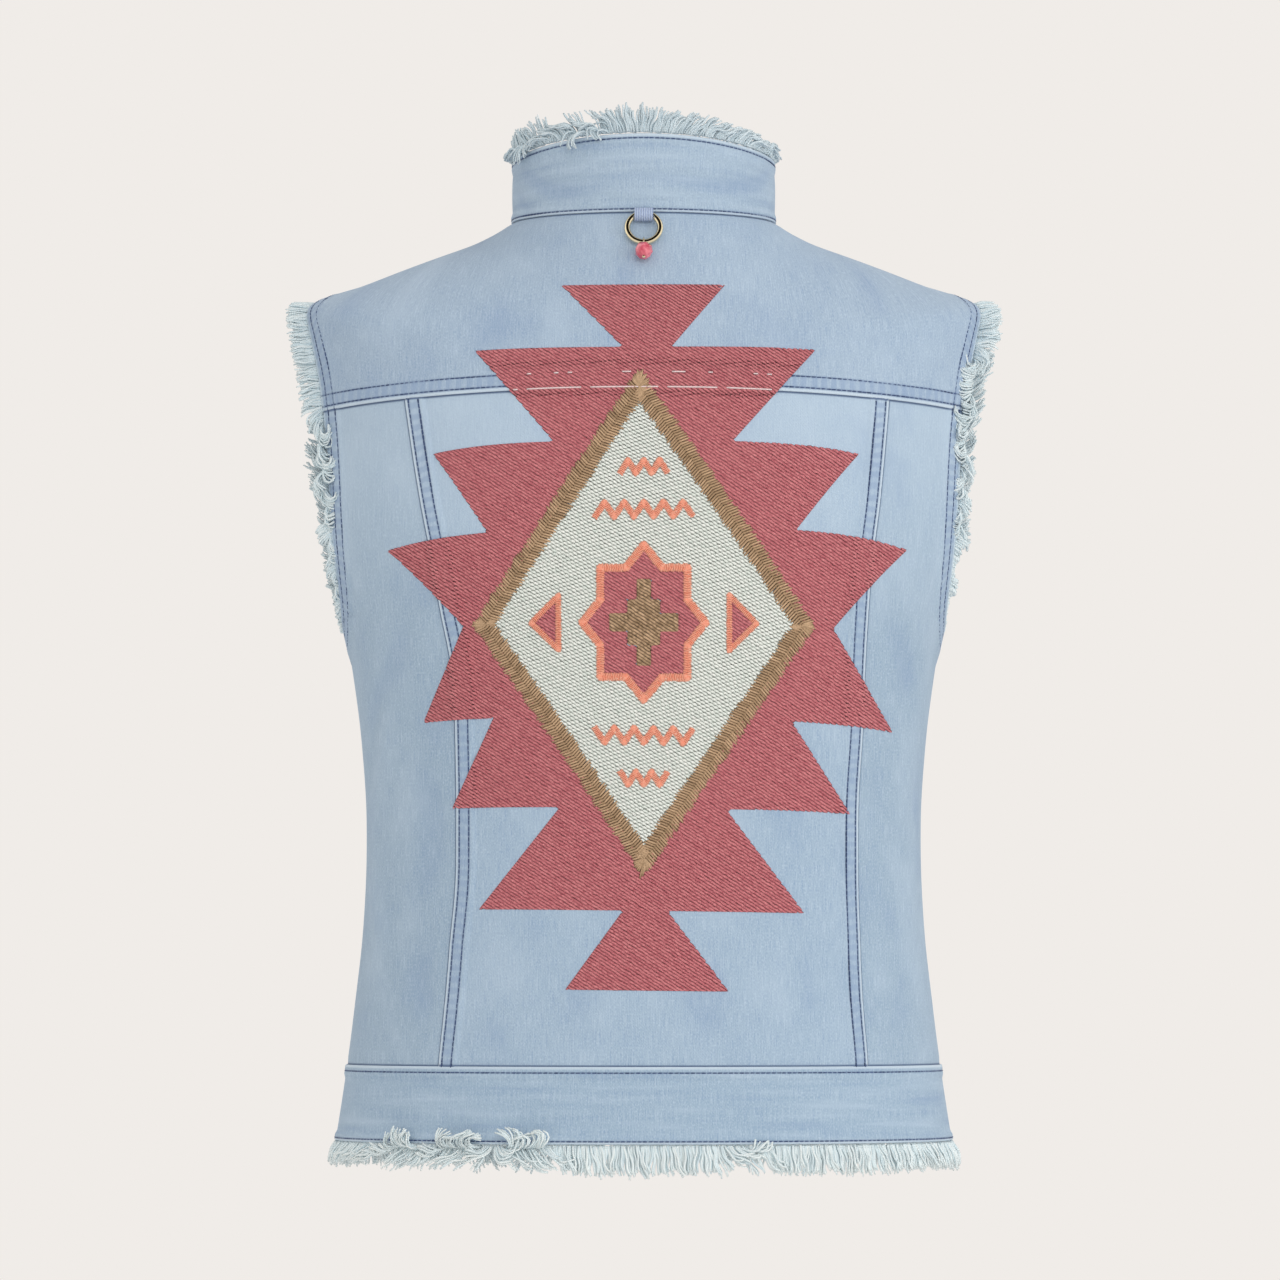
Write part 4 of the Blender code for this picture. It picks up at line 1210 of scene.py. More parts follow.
def in_lozenge(x, z, wide, tall):
    """|x| / wide + |z| / tall under 1; the upper half leans to the left."""
    x, z = flat_place(x, z)
    x = x + LOZENGE_LEAN * np.maximum(z, 0)
    return np.abs(x) / wide + np.abs(z) / tall < 1


STAR_HALF = 24 * MM
STAR_TALL = 1.25
CROSS_STEPS = ((4, 19), (9, 10), (19, 4))
AMULET_IN, AMULET_OUT, AMULET_HALF = 47 * MM, 62 * MM, 15 * MM


def in_star(x, z):
    """Eight points: a square and a square on its corner, both drawn out upwards."""
    x, z = flat_place(x, z)
    x, z = np.abs(x), np.abs(z) / STAR_TALL
    return (np.maximum(x, z) < STAR_HALF) | (x + z < math.sqrt(2) * STAR_HALF)


def in_cross(x, z):
    """A stepped cross of three bars."""
    x, z = flat_place(x, z)
    found = np.zeros(np.shape(x), bool)
    for wide, tall in CROSS_STEPS:
        found |= (np.abs(x) < wide * MM) & (np.abs(z) < tall * MM * STAR_TALL)
    return found


def in_amulets(x, z):
    """A triangle on each side of the star, pointing outwards."""
    x, z = flat_place(x, z)
    inward = (AMULET_OUT - np.abs(x)) / (AMULET_OUT - AMULET_IN)
    return (np.abs(x) > AMULET_IN) & (np.abs(z) < AMULET_HALF * inward)


def in_rose(x, z):
    """The tiers outside the middle of the border, the star round the cross, and the triangles."""
    border = in_lozenge(x, z, (LOZENGE_WIDE + FIELD_WIDE) / 2, (LOZENGE_TALL + FIELD_TALL) / 2)
    return in_tiers(x, z) & ~border | in_star(x, z) & ~in_cross(x, z) | in_amulets(x, z)


def in_mint(x, z):
    """The lozenge's field round the star and the triangles, reaching a little under the border."""
    return in_lozenge(x, z, FIELD_WIDE + 2 * MM, FIELD_TALL + 3 * MM) & ~in_star(x, z) & ~in_amulets(x, z)


medallion_tall = sum(tier[0] for tier in UPPER_TIERS + LOWER_TIERS)
print(f"medallion: {medallion_tall:.0f} mm tall, {2 * UPPER_TIERS[0][1]} mm wide")

# %% Ribbed fills
RIB_SLOPE = math.radians(-33)
RIB_PITCH = 1.6 * MM
RIB_REACH = 0.62
RIB_LIFT, RIB_FOLD_LIFT = 0.12, 0.3
FILL_REACH = 240 * MM
FOLD_HALF = 1.1 * MM
SWAY_STEP = 11 * MM
PRESSED, PRESSED_CREST = np.array([-190, -120]) * MM, (1.35, 0.75)


def edge_between(within, out, into, rounds):
    """A place just inside the edge of a shape, by halving the way from a place outside to one inside."""
    for _ in range(rounds):
        middle = (out + into) / 2
        hit = within(middle)
        out, into = np.where(hit, out, middle), np.where(hit, middle, into)
    return into


def fill(name, inside, step, height, material, dash=0.18, seed=1):
    """Ribs k*pitch apart along the slope, with a station every step. The ends are found for the crest and
    for both sides of a rib, so that an end is slanted as the outline is, and so is how far a side may
    reach."""
    way = np.array([math.cos(RIB_SLOPE), math.sin(RIB_SLOPE)])
    over = np.array([-way[1], way[0]])
    ribs = np.arange(-int(FILL_REACH / RIB_PITCH), int(FILL_REACH / RIB_PITCH) + 1)
    runs = np.arange(-FILL_REACH, FILL_REACH, step / 2)

    def spot(rib, run):
        x = MEDALLION_X + rib * RIB_PITCH * over[0] + run * way[0]
        return x, MEDALLION_Z + rib * RIB_PITCH * over[1] + run * way[1]

    def within(rib, run):
        return inside(*spot(rib, run))

    found = within(ribs[:, None], runs[None, :])
    starts, ends = found[:, 1:] & ~found[:, :-1], found[:, :-1] & ~found[:, 1:]
    i, j = np.nonzero(found & (np.arange(len(runs)) % 2 == 0))
    rib, run, kind = [ribs[i]], [runs[j]], [np.zeros(len(i), int)]
    for crossing, outside, code in ((starts, 0, 1), (ends, 1, 2)):
        i, j = np.nonzero(crossing)
        edge = edge_between(lambda at: within(ribs[i], at), runs[j + outside], runs[j + 1 - outside], 9)
        rib, run, kind = rib + [ribs[i]], run + [edge], kind + [np.full(len(i), code)]
    rib, run, kind = (np.concatenate(part) for part in (rib, run, kind))
    order = np.lexsort((kind == 2, kind != 1, run, rib))
    rib, run, kind = rib[order], run[order], kind[order]
    inward = np.array([0, 1, -1])[kind]
    skew, half = np.zeros((len(run), 3)), np.zeros((len(run), 3))
    for corner, side in ((0, -RIB_REACH), (2, RIB_REACH)):
        into, out = run + RIB_PITCH * inward, run - RIB_PITCH * inward
        clear = (kind > 0) & within(rib + side, into) & ~within(rib + side, out)
        whole = within(rib + side, run) | clear
        edge = edge_between(lambda at: within(rib + side, at), out, into, 10)
        none, full = np.zeros(len(run)), np.full(len(run), side)
        near = edge_between(lambda off: within(rib + off, run), full, none, 10)
        skew[:, corner] = np.where(clear, edge - run, 0)
        half[:, corner] = np.where(whole, RIB_REACH, np.abs(near)) * RIB_PITCH
    x, z = spot(rib, run)
    middle, side, up = CHART.lay(x, z, np.full_like(x, way[0]), np.full_like(x, way[1]))
    chance = np.random.default_rng(seed)
    uneven = chance.uniform(0.7, 1.25, len(x))
    beat = np.cos(math.pi * ((run + FILL_REACH) / step + rib))
    crest = height * uneven * (1 - dash + dash * beat) * np.interp(z, PRESSED, PRESSED_CREST)
    crest = np.where(kind == 0, crest, 0.5 * height)
    fold = np.exp(-((CHART.read(CHART.fold, x, z) / FOLD_HALF) ** 2))
    # Painted shade: the shade rises and falls with the beat, as the crest does, so a stitch is lighter where
    # it stands high and darker at its dipping ends; the rest is tone that differs at random, and a paler
    # line at the folds.
    shade = 0.5 + 0.15 * np.sin(rib * 1.3) + 0.7 * dash * beat + chance.normal(0, 0.3, len(x))
    shade = np.clip(shade + 0.9 * fold, 0, 1)
    sway = ripple(run + 0.31 * rib * RIB_PITCH, SWAY_STEP, seed) + chance.normal(0, 0.5, len(x))
    sway = np.where((kind == 0) & (half[:, 0] + half[:, 2] > 1.2 * RIB_PITCH), 0.1 * RIB_PITCH * sway, 0)
    middle = middle + ((RIB_LIFT + RIB_FOLD_LIFT * fold) * MM)[:, None] * up + sway[:, None] * side
    threads(name, middle, side, up, half, crest, kind != 2, shade, run, material, skew=skew)


# The third colour of each thread is painted shade in the valleys between threads.
ROSE = thread_finish("rose_thread", (170, 80, 92), (226, 142, 146), (118, 54, 67), RIB_PITCH / 2, speck=0.6,
                     valley_shade=0.32)
MINT = thread_finish("mint_thread", (219, 230, 222), (254, 255, 250), (196, 209, 200), RIB_PITCH / 2)
BROWN = thread_finish("brown_thread", (122, 96, 66), (218, 184, 148), (80, 63, 43), 0.75 * MM, speck=0.3)
CORAL = thread_finish("coral_thread", (255, 148, 118), (255, 192, 166), (222, 110, 90), 0.6 * MM, speck=0.3)
fill("medallion_rose", in_rose, 1.9 * MM, 0.26 * MM, ROSE, dash=0.45)
fill("medallion_mint", in_mint, 1.5 * MM, 0.27 * MM, MINT, dash=0.55, seed=2)
fill("medallion_cross", in_cross, 1.2 * MM, 0.3 * MM, BROWN, seed=4)

# %% Worn lines where the medallion crosses the yoke's fold
FOLD_LINES = ((0.4, 0.96), (8.8, 0.5))
yoke_line = SEAMS["yoke"].line
x = np.arange(-112, 112, 2.5) * MM
worn = []
for rise, kept in FOLD_LINES:
    z = np.interp(x, yoke_line[:, 0], yoke_line[:, 2]) + rise * MM
    middle, side, up = CHART.lay(x, z, np.ones_like(x), np.gradient(z, x))
    shown = in_rose(x, z) & (np.random.default_rng(14).uniform(0, 1, len(x)) < kept)
    worn.append((middle + 0.5 * MM * up, side, up, shown & np.append(shown[1:], False)))
middle, side, up, joined = (np.concatenate(part) for part in zip(*worn))
WORN = thread_finish("worn_thread", (232, 200, 203), (250, 238, 238), (216, 170, 175), 0.5 * MM)
threads("medallion_fold_lines", middle, side, up, 0.5 * MM, 0.3 * MM, joined, np.full(len(middle), 0.5),
        np.tile(x, len(worn)), WORN)

# %% Satin lines
SATIN_SHARES = np.array([0, 0.3, 0.75, 1])
SATIN_LEAN = 0.25
SATIN_FINE = 4000
BORDER_WIDTH, BORDER_PITCH, BORDER_MITRE = 11 * MM, 1.5 * MM, 1.65
CORAL_PITCH, CORAL_JAG = 0.95 * MM, 0.1


def satin(path, width, pitch, closed=False, jag=0.0, seed=6, mitre=1.0):
    """Stitches on both sides of a line, from its middle to its edges, slanting back along it. They are a
    pitch apart on the outside of its bends, so that a corner is filled by a fan. A stitch of the fan that
    stands off the line's own side by an angle is 1 / cos of it longer, up to the mitre, so that the
    corner is pointed."""
    path = np.asarray(path, float) * MM
    path = np.concatenate([path, path[:1]]) if closed else path
    length = run_along(path)

    def spots_at(place):
        return read_along(path, length, place % length[-1] if closed else np.clip(place, 0, length[-1]))

    def heading_at(place):
        return unit(spots_at(place + 1 * MM) - spots_at(place - 1 * MM))

    fine = np.linspace(0, length[-1], SATIN_FINE)
    turned = np.abs(np.diff(np.unwrap(np.arctan2(*heading_at(fine).T[::-1]))))
    outside = np.concatenate([[0], np.cumsum(np.diff(fine) + mitre * width / 2 * turned)])
    even = np.linspace(0, outside[-1], max(int(outside[-1] / pitch), 4), endpoint=not closed)
    place = np.interp(even, outside, fine)
    middle, ahead = spots_at(place), heading_at(place)
    across = np.stack([-ahead[:, 1], ahead[:, 0]], axis=1)
    piece = np.clip(np.searchsorted(length, place, side="right") - 1, 0, len(path) - 2)
    straight = (ahead * unit(np.diff(path, axis=0))[piece]).sum(axis=1, keepdims=True)
    longer = np.minimum(1 / np.maximum(straight, 0.1), mitre)
    chance = np.random.default_rng(seed)
    parts = []
    for side in (-1, 1):
        reach = width / 2 * longer * (1 + jag * chance.uniform(-1, 1, (len(place), 1)))
        start = middle - across * side * 0.12 * width + ahead * SATIN_LEAN * width * 0.1
        end = middle + across * side * reach - ahead * SATIN_LEAN * width / 2
        spots = start[:, None] + (end - start)[:, None] * SATIN_SHARES[:, None]
        heading = np.repeat(unit(end - start), len(SATIN_SHARES), axis=0)
        parts.append((spots.reshape(-1, 2), heading))
    return [np.concatenate(part) for part in zip(*parts)]


def undrooped(spots):
    """Height on the cloth of a place drawn on the flat pattern."""
    return MEDALLION_Z + spots[:, 1] - droop(spots[:, 0], spots[:, 1])


def satin_piece(name, lines, pitch, height, base, material, seed):
    """One piece of thread from several satin lines."""
    spots, heading = (np.concatenate(part) for part in zip(*lines))
    count = len(spots) // len(SATIN_SHARES)
    x, z = MEDALLION_X + spots[:, 0], undrooped(spots)
    middle, side, up = CHART.lay(x, z, heading[:, 0], heading[:, 1])
    chance = np.random.default_rng(seed)
    own_shade = np.repeat(chance.uniform(0, 1, count), len(SATIN_SHARES))
    own_height = np.repeat(chance.uniform(0.8, 1.2, count), len(SATIN_SHARES))
    # Painted shade: each stitch is darkest at its inner end, where both sides meet along the middle of the
    # line, and lightest past its middle; own_shade is tone that differs at random.
    shade = own_shade * 0.6 + np.tile([0.0, 0.25, 0.4, 0.35], count)
    crest = np.tile([0.35, 1, 0.9, 0.2], count) * height * own_height
    half = np.tile([0.85, 1.05, 1, 0.55], count) * pitch * 0.52
    along = np.tile(SATIN_SHARES * 4 * MM, count)
    joined = np.tile(STITCH_JOINED, count)
    threads(name, middle + base * up, side, up, half, crest, joined, shade, along, material)


def loop(radii, tall=1.0):
    """Corners of a closed figure: radii at even turns, drawn out upwards."""
    turn = np.arange(len(radii)) * 2 * math.pi / len(radii)
    return np.stack([np.cos(turn) * radii, np.sin(turn) * radii * tall], axis=1)


def zigzag(half, z, tooth, teeth):
    """Teeth across the field at height z, pointing away from the middle."""
    x = np.linspace(-half, half, 2 * teeth + 1)
    return np.stack([x, z + np.sign(z) * tooth * (np.arange(2 * teeth + 1) % 2)], axis=1)


border_wide, border_tall = (LOZENGE_WIDE + FIELD_WIDE) / 2 / MM, (LOZENGE_TALL + FIELD_TALL) / 2 / MM
border_path = loop(np.array([border_wide, border_tall] * 2))
border_path[1, 0] -= LOZENGE_LEAN * border_tall
border = satin(border_path, BORDER_WIDTH, BORDER_PITCH, closed=True, jag=0.16, mitre=BORDER_MITRE)
satin_piece("medallion_border", [border], BORDER_PITCH, 0.55 * MM, 0.3 * MM, BROWN, 8)

star_radius = STAR_HALF / MM * np.where(np.arange(16) % 2 == 0, math.sqrt(2), 1 / math.cos(math.pi / 8))
amulet = np.array([(AMULET_OUT, 0), (AMULET_IN, AMULET_HALF), (AMULET_IN, -AMULET_HALF)]) / MM
figures = [(loop(star_radius, STAR_TALL), 4.6, True, 6)]
for way in (-1, 1):
    figures.append((zigzag(27, 58 * way, 8, 5), 3.8, False, 9))
    figures.append((zigzag(13, 82 * way, 7, 3), 3.8, False, 10))
    figures.append((amulet * (way, 1), 3.4, True, 11))
coral_lines = []
for path, width, closed, seed in figures:
    coral_lines.append(satin(path, width * MM, CORAL_PITCH, closed, CORAL_JAG, seed))
satin_piece("medallion_coral", coral_lines, CORAL_PITCH, 0.5 * MM, 0.35 * MM, CORAL, 12)

# %% [markdown]
# ## Frayed edges
# Where the weave is pulled out, the yarns that ran across the edge hang free, side by side and crimped
# alike. Washing combs them one way in one place and another in the next, and rolls whole locks back over
# the cloth. Hair particles would not export, so the yarns are threads too, and short tables say how they
# lie along each edge.

# %% Yarns
YARN_POINTS = 8
YARN_RADIUS = 0.64 * MM
LOCK_SPREAD = 0.4


def yarns(name, node, edge, out, face, count, table, finish, straight, axis=0, aside_sign=1, seed=20):
    """Each yarn is a sum of short steps. Its heading starts in the edge's out direction, lifts in front
    of the cloth and settles, and turns in the plane of the cloth with the comb and with waves that change
    slowly along the edge. Where the comb curls yarns back, their ends hook on round, and a share of them
    stays straight. The rows of the table are locks, in which yarns lie nearly alike."""
    chance = np.random.default_rng(seed)
    length = run_along(edge)
    place = (np.arange(count) + chance.uniform(0, 1, count)) / count * length[-1]

    def swell(step, number):
        return 2 * ripple(place, step * MM, seed + number)[:, None]

    root, way, front = (read_along(values, length, place) for values in (edge, out, face))
    way, front = unit(way), unit(front)
    aside = aside_sign * np.cross(way, front)
    knots, *columns_read = np.array(table, float).T
    number = np.arange(len(knots))
    lock = np.interp(root[:, axis] / MM, knots, number)
    lock = np.round(lock) + LOCK_SPREAD * (lock - np.round(lock))
    size, lift, comb = (np.interp(lock, number, column)[:, None] for column in columns_read)
    shown = np.where(front[:, 1:2] < 0.2, 1, 0.25)
    hanging = (np.abs(comb) > 1.4) & (chance.uniform(0, 1, (count, 1)) < straight)
    lift, comb = (values * shown * np.where(hanging, 0.3, 1) for values in (lift, comb))
    share = np.linspace(0, 1, YARN_POINTS)
    own = chance.normal(0, 1, (4, count, 1))
    hump = step_up(share, 0, chance.uniform(0.15, 0.3, (count, 1))) - 1.15 * step_up(share, 0.3, 0.8)
    raised = 0.08 + 0.06 * own[0] + (lift * (1 + 0.2 * swell(9, 1)) + 0.07 * own[1]) * hump
    wave = (0.24 + 0.25 * lift) * np.sin(2 * math.pi * (1.15 * share + 0.35 * swell(17, 2)))
    turn = comb + 0.16 * swell(8, 3) + 0.06 * own[2]
    hook = 1.9 * lift * np.tanh(comb) * step_up(share, 0.45, 1.0) * chance.uniform(0.9, 1.1, (count, 1))
    sway = turn * (1 - (1 - share) ** 3) + wave * step_up(share, 0, 0.6) + hook
    heading = np.cos(sway)[..., None] * way[:, None] + np.sin(sway)[..., None] * aside[:, None]
    heading = np.cos(raised)[..., None] * heading + np.sin(raised)[..., None] * front[:, None]
    size = size * MM * (1 + 0.06 * swell(6, 4)) * chance.uniform(0.9, 1.08, (count, 1))
    start = root - way * 1.4 * MM + front * chance.uniform(-0.9, 0.9, (count, 1)) * MM
    centre = start[:, None] + np.cumsum(heading, axis=1) * (size / YARN_POINTS)[..., None]
    up = unit(front[:, None] - (front[:, None] * heading).sum(axis=-1, keepdims=True) * heading + 1e-6)
    side = np.cross(up, heading)
    radius = YARN_RADIUS * np.interp(share, [0, 0.8, 1], [1, 1, 0.8])
    radius = radius * chance.uniform(0.75, 1.12, (count, 1))
    joined = np.broadcast_to(np.arange(YARN_POINTS) < YARN_POINTS - 1, radius.shape).ravel()
    shade = np.clip(0.55 + 0.22 * own[3] + 0.3 * (share - 0.4), 0, 1)
    centre, side, up = (part.reshape(-1, 3) for part in (centre, side, up))
    radius, shade, run = (part.ravel() for part in (radius, shade, share * size))
    thing = threads(name, centre, side, up, radius, radius, joined, shade, run, finish, section=ROUND)
    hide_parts(node)


def fray_finish(name, dark, light, gap):
    """Dull, loosely twisted yarn, with painted shade in the gap colour towards its sides."""
    return thread_finish(name, dark, light, gap, YARN_RADIUS, twist=1.5 * MM, roughness=0.95, speck=0.25,
                         bump=0.1 * MM)


COLLAR_YARN = fray_finish("collar_yarn", (188, 208, 218), (228, 240, 246), (184, 204, 214))
ARMHOLE_YARN = fray_finish("armhole_yarn", (204, 225, 234), (244, 253, 255), (198, 218, 228))
HEM_YARN = fray_finish("hem_yarn", (214, 234, 242), (248, 255, 255), (206, 226, 234))

# %% Collar and armhole yarns
# Each lock's place on the edge in millimetres, its length, how far it lifts and how far the comb turns it.
YARN_COUNT = 1150
COLLAR_FRAY = (
    (-76, 14, 0.4, -1.2), (-69, 16, 0.5, -1.6), (-62, 18, 0.7, -2.3), (-54, 18, 0.6, -1.6),
    (-46, 17, 0.4, -1.0), (-39, 17, 0.4, -0.9), (-33, 18, 0.8, -2.4), (-27, 17.5, 0.5, -0.9),
    (-21, 18, 0.8, -2.3), (-15, 17, 0.4, -0.5), (-8, 17, 0.3, -0.2), (0, 16.5, 0.2, 0.1), (8, 16, 0.2, 0.5),
    (18, 16, 0.3, 0.8), (28, 15.5, 0.25, 0.8), (40, 15.5, 0.35, 1.1), (52, 15.5, 0.3, 1.1),
    (64, 15, 0.35, 1.35), (76, 13, 0.3, 1.3),
)
LEFT_FRAY = (
    (-234, 4, 0.2, 0.6), (-214, 7, 0.4, 1.2), (-203, 10, 0.6, 2.0), (-194, 10, 0.5, 0.8),
    (-184, 12, 0.6, 2.3), (-175, 11, 0.4, 0.6), (-165, 14, 0.7, 2.3), (-156, 18, 0.8, 3.0),
    (-147, 17, 0.5, 1.2), (-138, 20, 0.8, 2.9), (-128, 19, 0.6, 1.6), (-120, 20, 0.8, 2.9),
    (-113, 16, 0.5, 1.0), (-104, 13.5, 0.15, 0.2), (-80, 13.5, 0.1, 0.1), (-52, 13, 0.1, 0),
)
RIGHT_FRAY = (
    (-234, 2.5, 0.2, 0.8), (-214, 3, 0.2, 0.9), (-206, 8, 0.3, 1.0), (-197, 4, 0.2, 0.9),
    (-186, 7, 0.3, 0.9), (-178, 13, 0.4, 1.1), (-168, 13, 0.7, 2.3), (-158, 12, 0.4, 0.8),
    (-147, 14, 0.7, 2.3), (-137, 15, 0.5, 0.9), (-128, 19, 0.8, 3.0), (-116, 21, 0.9, 3.2),
    (-104, 20, 0.7, 1.8), (-94, 22, 0.9, 3.2), (-84, 21, 0.8, 2.8), (-76, 17, 0.5, 1.0),
    (-68, 15, 0.3, -0.1), (-60, 14.5, 0.25, -0.3), (-52, 13, 0.2, -0.3),
)
angle = np.linspace(collar_start[-1], collar_end[-1], 240)
edge = COLLAR.point(angle, collar_top)
upward = unit(edge - COLLAR.point(angle, collar_top - 2 * MM))
yarns("collar_yarns", "collar_fringe", edge, upward, COLLAR.normal(angle, collar_top), YARN_COUNT,
      COLLAR_FRAY, COLLAR_YARN, 0.5, seed=21)

away = egg - (egg.min(axis=0) + egg.max(axis=0)) / 2
away[:, 0] = 0
outward = unit(np.array([1, 0, 0.05]) - 0.2 * unit(away))
skin = BODY.normal(egg_angle, egg_at)
facing = unit(skin - (skin * outward).sum(axis=1, keepdims=True) * outward)
for side, flip, sign, table, seed in (("left", FLIP_X, -1, LEFT_FRAY, 31), ("right", 1, 1, RIGHT_FRAY, 41)):
    yarns(f"armhole_yarns_{side}", f"armhole_fringe_{side}", egg * flip, outward * flip, facing * flip,
          YARN_COUNT, table, ARMHOLE_YARN, 0.0, axis=2, aside_sign=sign, seed=seed)

# %% Hem yarns
HEM_FRAY = (
    (-174, 16, 0.3, -0.5), (-158, 17, 0.4, -0.8), (-148, 18, 0.4, -1.0), (-140, 18, 0.5, -1.2),
    (-132, 19, 0.7, -2.5), (-124, 19, 0.7, -2.5), (-117, 18, 0.3, -0.5), (-111, 19, 0.5, -1.2),
    (-105, 21, 0.9, -3.0), (-98, 22, 0.9, -3.1), (-91, 21, 0.9, -3.0), (-85, 20, 0.6, -1.3),
    (-80, 20, 0.6, 1.3), (-74, 21, 0.9, 3.0), (-67, 22, 0.9, 3.1), (-60, 21, 0.8, 2.9), (-54, 19, 0.5, 0.9),
    (-46, 18, 0.2, 0.3), (-36, 18, 0.2, 0.05), (-26, 18.5, 0.2, 0.25), (-16, 18, 0.15, 0.0),
    (-6, 18.5, 0.15, 0.2), (5, 18, 0.15, 0.05), (16, 18.5, 0.2, 0.25), (28, 18, 0.15, 0.05),
    (40, 18, 0.2, 0.2), (48, 18.5, 0.5, 1.0), (56, 19, 0.6, 1.7), (63, 18.5, 0.4, 0.6), (76, 18, 0.2, 0.1),
    (90, 18.5, 0.2, -0.05), (104, 18, 0.2, 0.2), (118, 18.5, 0.25, 0.0), (132, 18, 0.25, 0.2),
    (174, 17.5, 0.3, 0.4),
)
HEM_SINK = 0.8 * MM
hem_parts = {
    "back": (mirrored(SIDE), SIDE, 1300, 0.0),
    "right": (SIDE, float(BODY.angle_at_width(0, -LAP, 1)), 480, 1.0),
    "left": (float(BODY.angle_at_width(0, -LAP - 3.5 * MM, 1)), math.pi, 440, 0.0),
}
for part, (start, end, count, lapped) in hem_parts.items():
    angle = np.linspace(start, end, 200)
    normal = BODY.normal(angle, 0.0)
    edge = BODY.point(angle, 0.0)
    edge = edge + (lapped * lap_rise(edge[:, 0], DOUBLE_CLOTH) - HEM_SINK)[:, None] * normal
    down = np.broadcast_to(np.array([0.0, 0.0, -1.0]), edge.shape)
    yarns(f"hem_yarns_{part}", f"hem_fringe_{part}", edge, down, normal, count, HEM_FRAY, HEM_YARN, 0.4,
          aside_sign=-1, seed=51 + len(part))

# %% [markdown]
# ## Loop, ring and bead
# A tape loop in the neck seam carries a polished ring, and a bead hangs on the ring by a pin. They are
# turned or swept shapes, so a profile goes round an axis. The ring and the bead ride on their own bodies,
# because they swing.

# %% Turned and swept shapes
JOINTS = {joint["name"]: np.array(joint["pos_m"]) for joint in frame["joints"]}
RING_PIVOT, BEAD_PIVOT = JOINTS["ring_swing"], JOINTS["bead_swing"]
ACROSS = np.array([1.0, 0, 0])


def wrapped_faces(rows, columns, closed_rows=False):
    """Quads of a grid that closes on itself across, and along too if asked."""
    index = np.arange(rows * columns).reshape(rows, columns)
    index = np.concatenate([index, index[:1]]) if closed_rows else index
    after = np.roll(index, -1, axis=1)
    return np.stack([index[:-1], after[:-1], after[1:], index[1:]], axis=-1).reshape(-1, 4)


def turned(name, profile, origin, axis, steps, material, body):
    """Radius and height pairs turned round an axis: origin + height*axis + radius*(cos a, sin a)."""
    radius, height = np.array(profile, float).T[:, :, None] * MM
    turn = np.arange(steps) * 2 * math.pi / steps
    first = unit(np.cross(axis, [0.3, 0.1, 1.0]))
    second = np.cross(axis, first)
    ring = np.cos(turn)[:, None] * first + np.sin(turn)[:, None] * second
    points = origin + height[..., None] * axis + radius[..., None] * ring
    faces = wrapped_faces(len(profile), steps, closed_rows=True)
    return put_mesh(name, points, faces.tolist(), [material], body)


def swept(name, path, side, radius, sides, material, body, closed=False):
    """A round section carried along a path in a plane whose across direction is side."""
    ahead = unit(np.roll(path, -1, 0) - np.roll(path, 1, 0)) if closed else unit(np.gradient(path, axis=0))
    other = np.cross(ahead, side)
    turn = np.arange(sides) * 2 * math.pi / sides
    radius = np.broadcast_to(radius, len(path))[:, None, None]
    points = path[:, None] + radius * (np.cos(turn)[:, None] * side + np.sin(turn)[:, None] * other[:, None])
    faces = wrapped_faces(len(path), sides, closed).tolist()
    if not closed:
        last = (len(path) - 1) * sides
        faces += [list(range(sides))[::-1], list(range(last, last + sides))]
    return put_mesh(name, points, faces, [material], body)


def brushed(name, colour, roughness, wear):
    """Metal with a little uneven polish."""
    f = Finish(name, Metallic=1.0)
    cloud = f.noise(f.place(), 420, 3)
    return f.surface(f.mix(cloud, display(*colour), display(*wear)), roughness=cloud * 0.14 + roughness)


GOLD = brushed("pale_gold", (240, 228, 198), 0.02, (224, 208, 172))
print("ring pivot", RING_PIVOT.round(4), "bead pivot", BEAD_PIVOT.round(4))

# %% Ring, bead and pin
RING_RADIUS = 9.15 * MM
RING_WIRE = 1.65 * MM
RING_HANG = 0.8 * MM
RING_STEPS, RING_SIDES = 96, 24
BEAD_RADIUS = 5.15
BEAD_DROP = 8.1
BEAD_HOLE = 0.75
BEAD_RINGS = (38, 70, 102, 136)
BEAD_SIDES = 7
EYE_RADIUS = 2.25 * MM
EYE_START, EYE_END, EYE_STEPS = 40, 340, 40
PIN_WIRE = 0.4 * MM
PIN_SIDES = 12
PIN_NECK = [2.9, 3.5]
PIN_PAST_BEAD = np.array([0.3, 0.4, 0.65, 1.0, 1.25])

ring_way = unit(BEAD_PIVOT - RING_PIVOT)
ring_face = np.cross(ACROSS, ring_way)
ring_middle = RING_PIVOT + (RING_RADIUS - RING_HANG) * ring_way
turn = np.arange(RING_STEPS)[:, None] * 2 * math.pi / RING_STEPS
path = ring_middle + RING_RADIUS * (np.cos(turn) * ACROSS + np.sin(turn) * ring_way)
ring = swept("gold_ring", path, ring_face, RING_WIRE, RING_SIDES, GOLD, "ring", closed=True)
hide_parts("ring")

bead_low, bead_high = (np.array(corner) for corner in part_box("bead"))
bead_way = unit((bead_low + bead_high) / 2 - BEAD_PIVOT)
polar = np.radians([math.degrees(math.asin(BEAD_HOLE / BEAD_RADIUS)), *BEAD_RINGS])
polar = np.append(polar, math.pi - polar[0])
profile = np.array([(BEAD_RADIUS * math.sin(a), BEAD_DROP - BEAD_RADIUS * math.cos(a)) for a in polar])


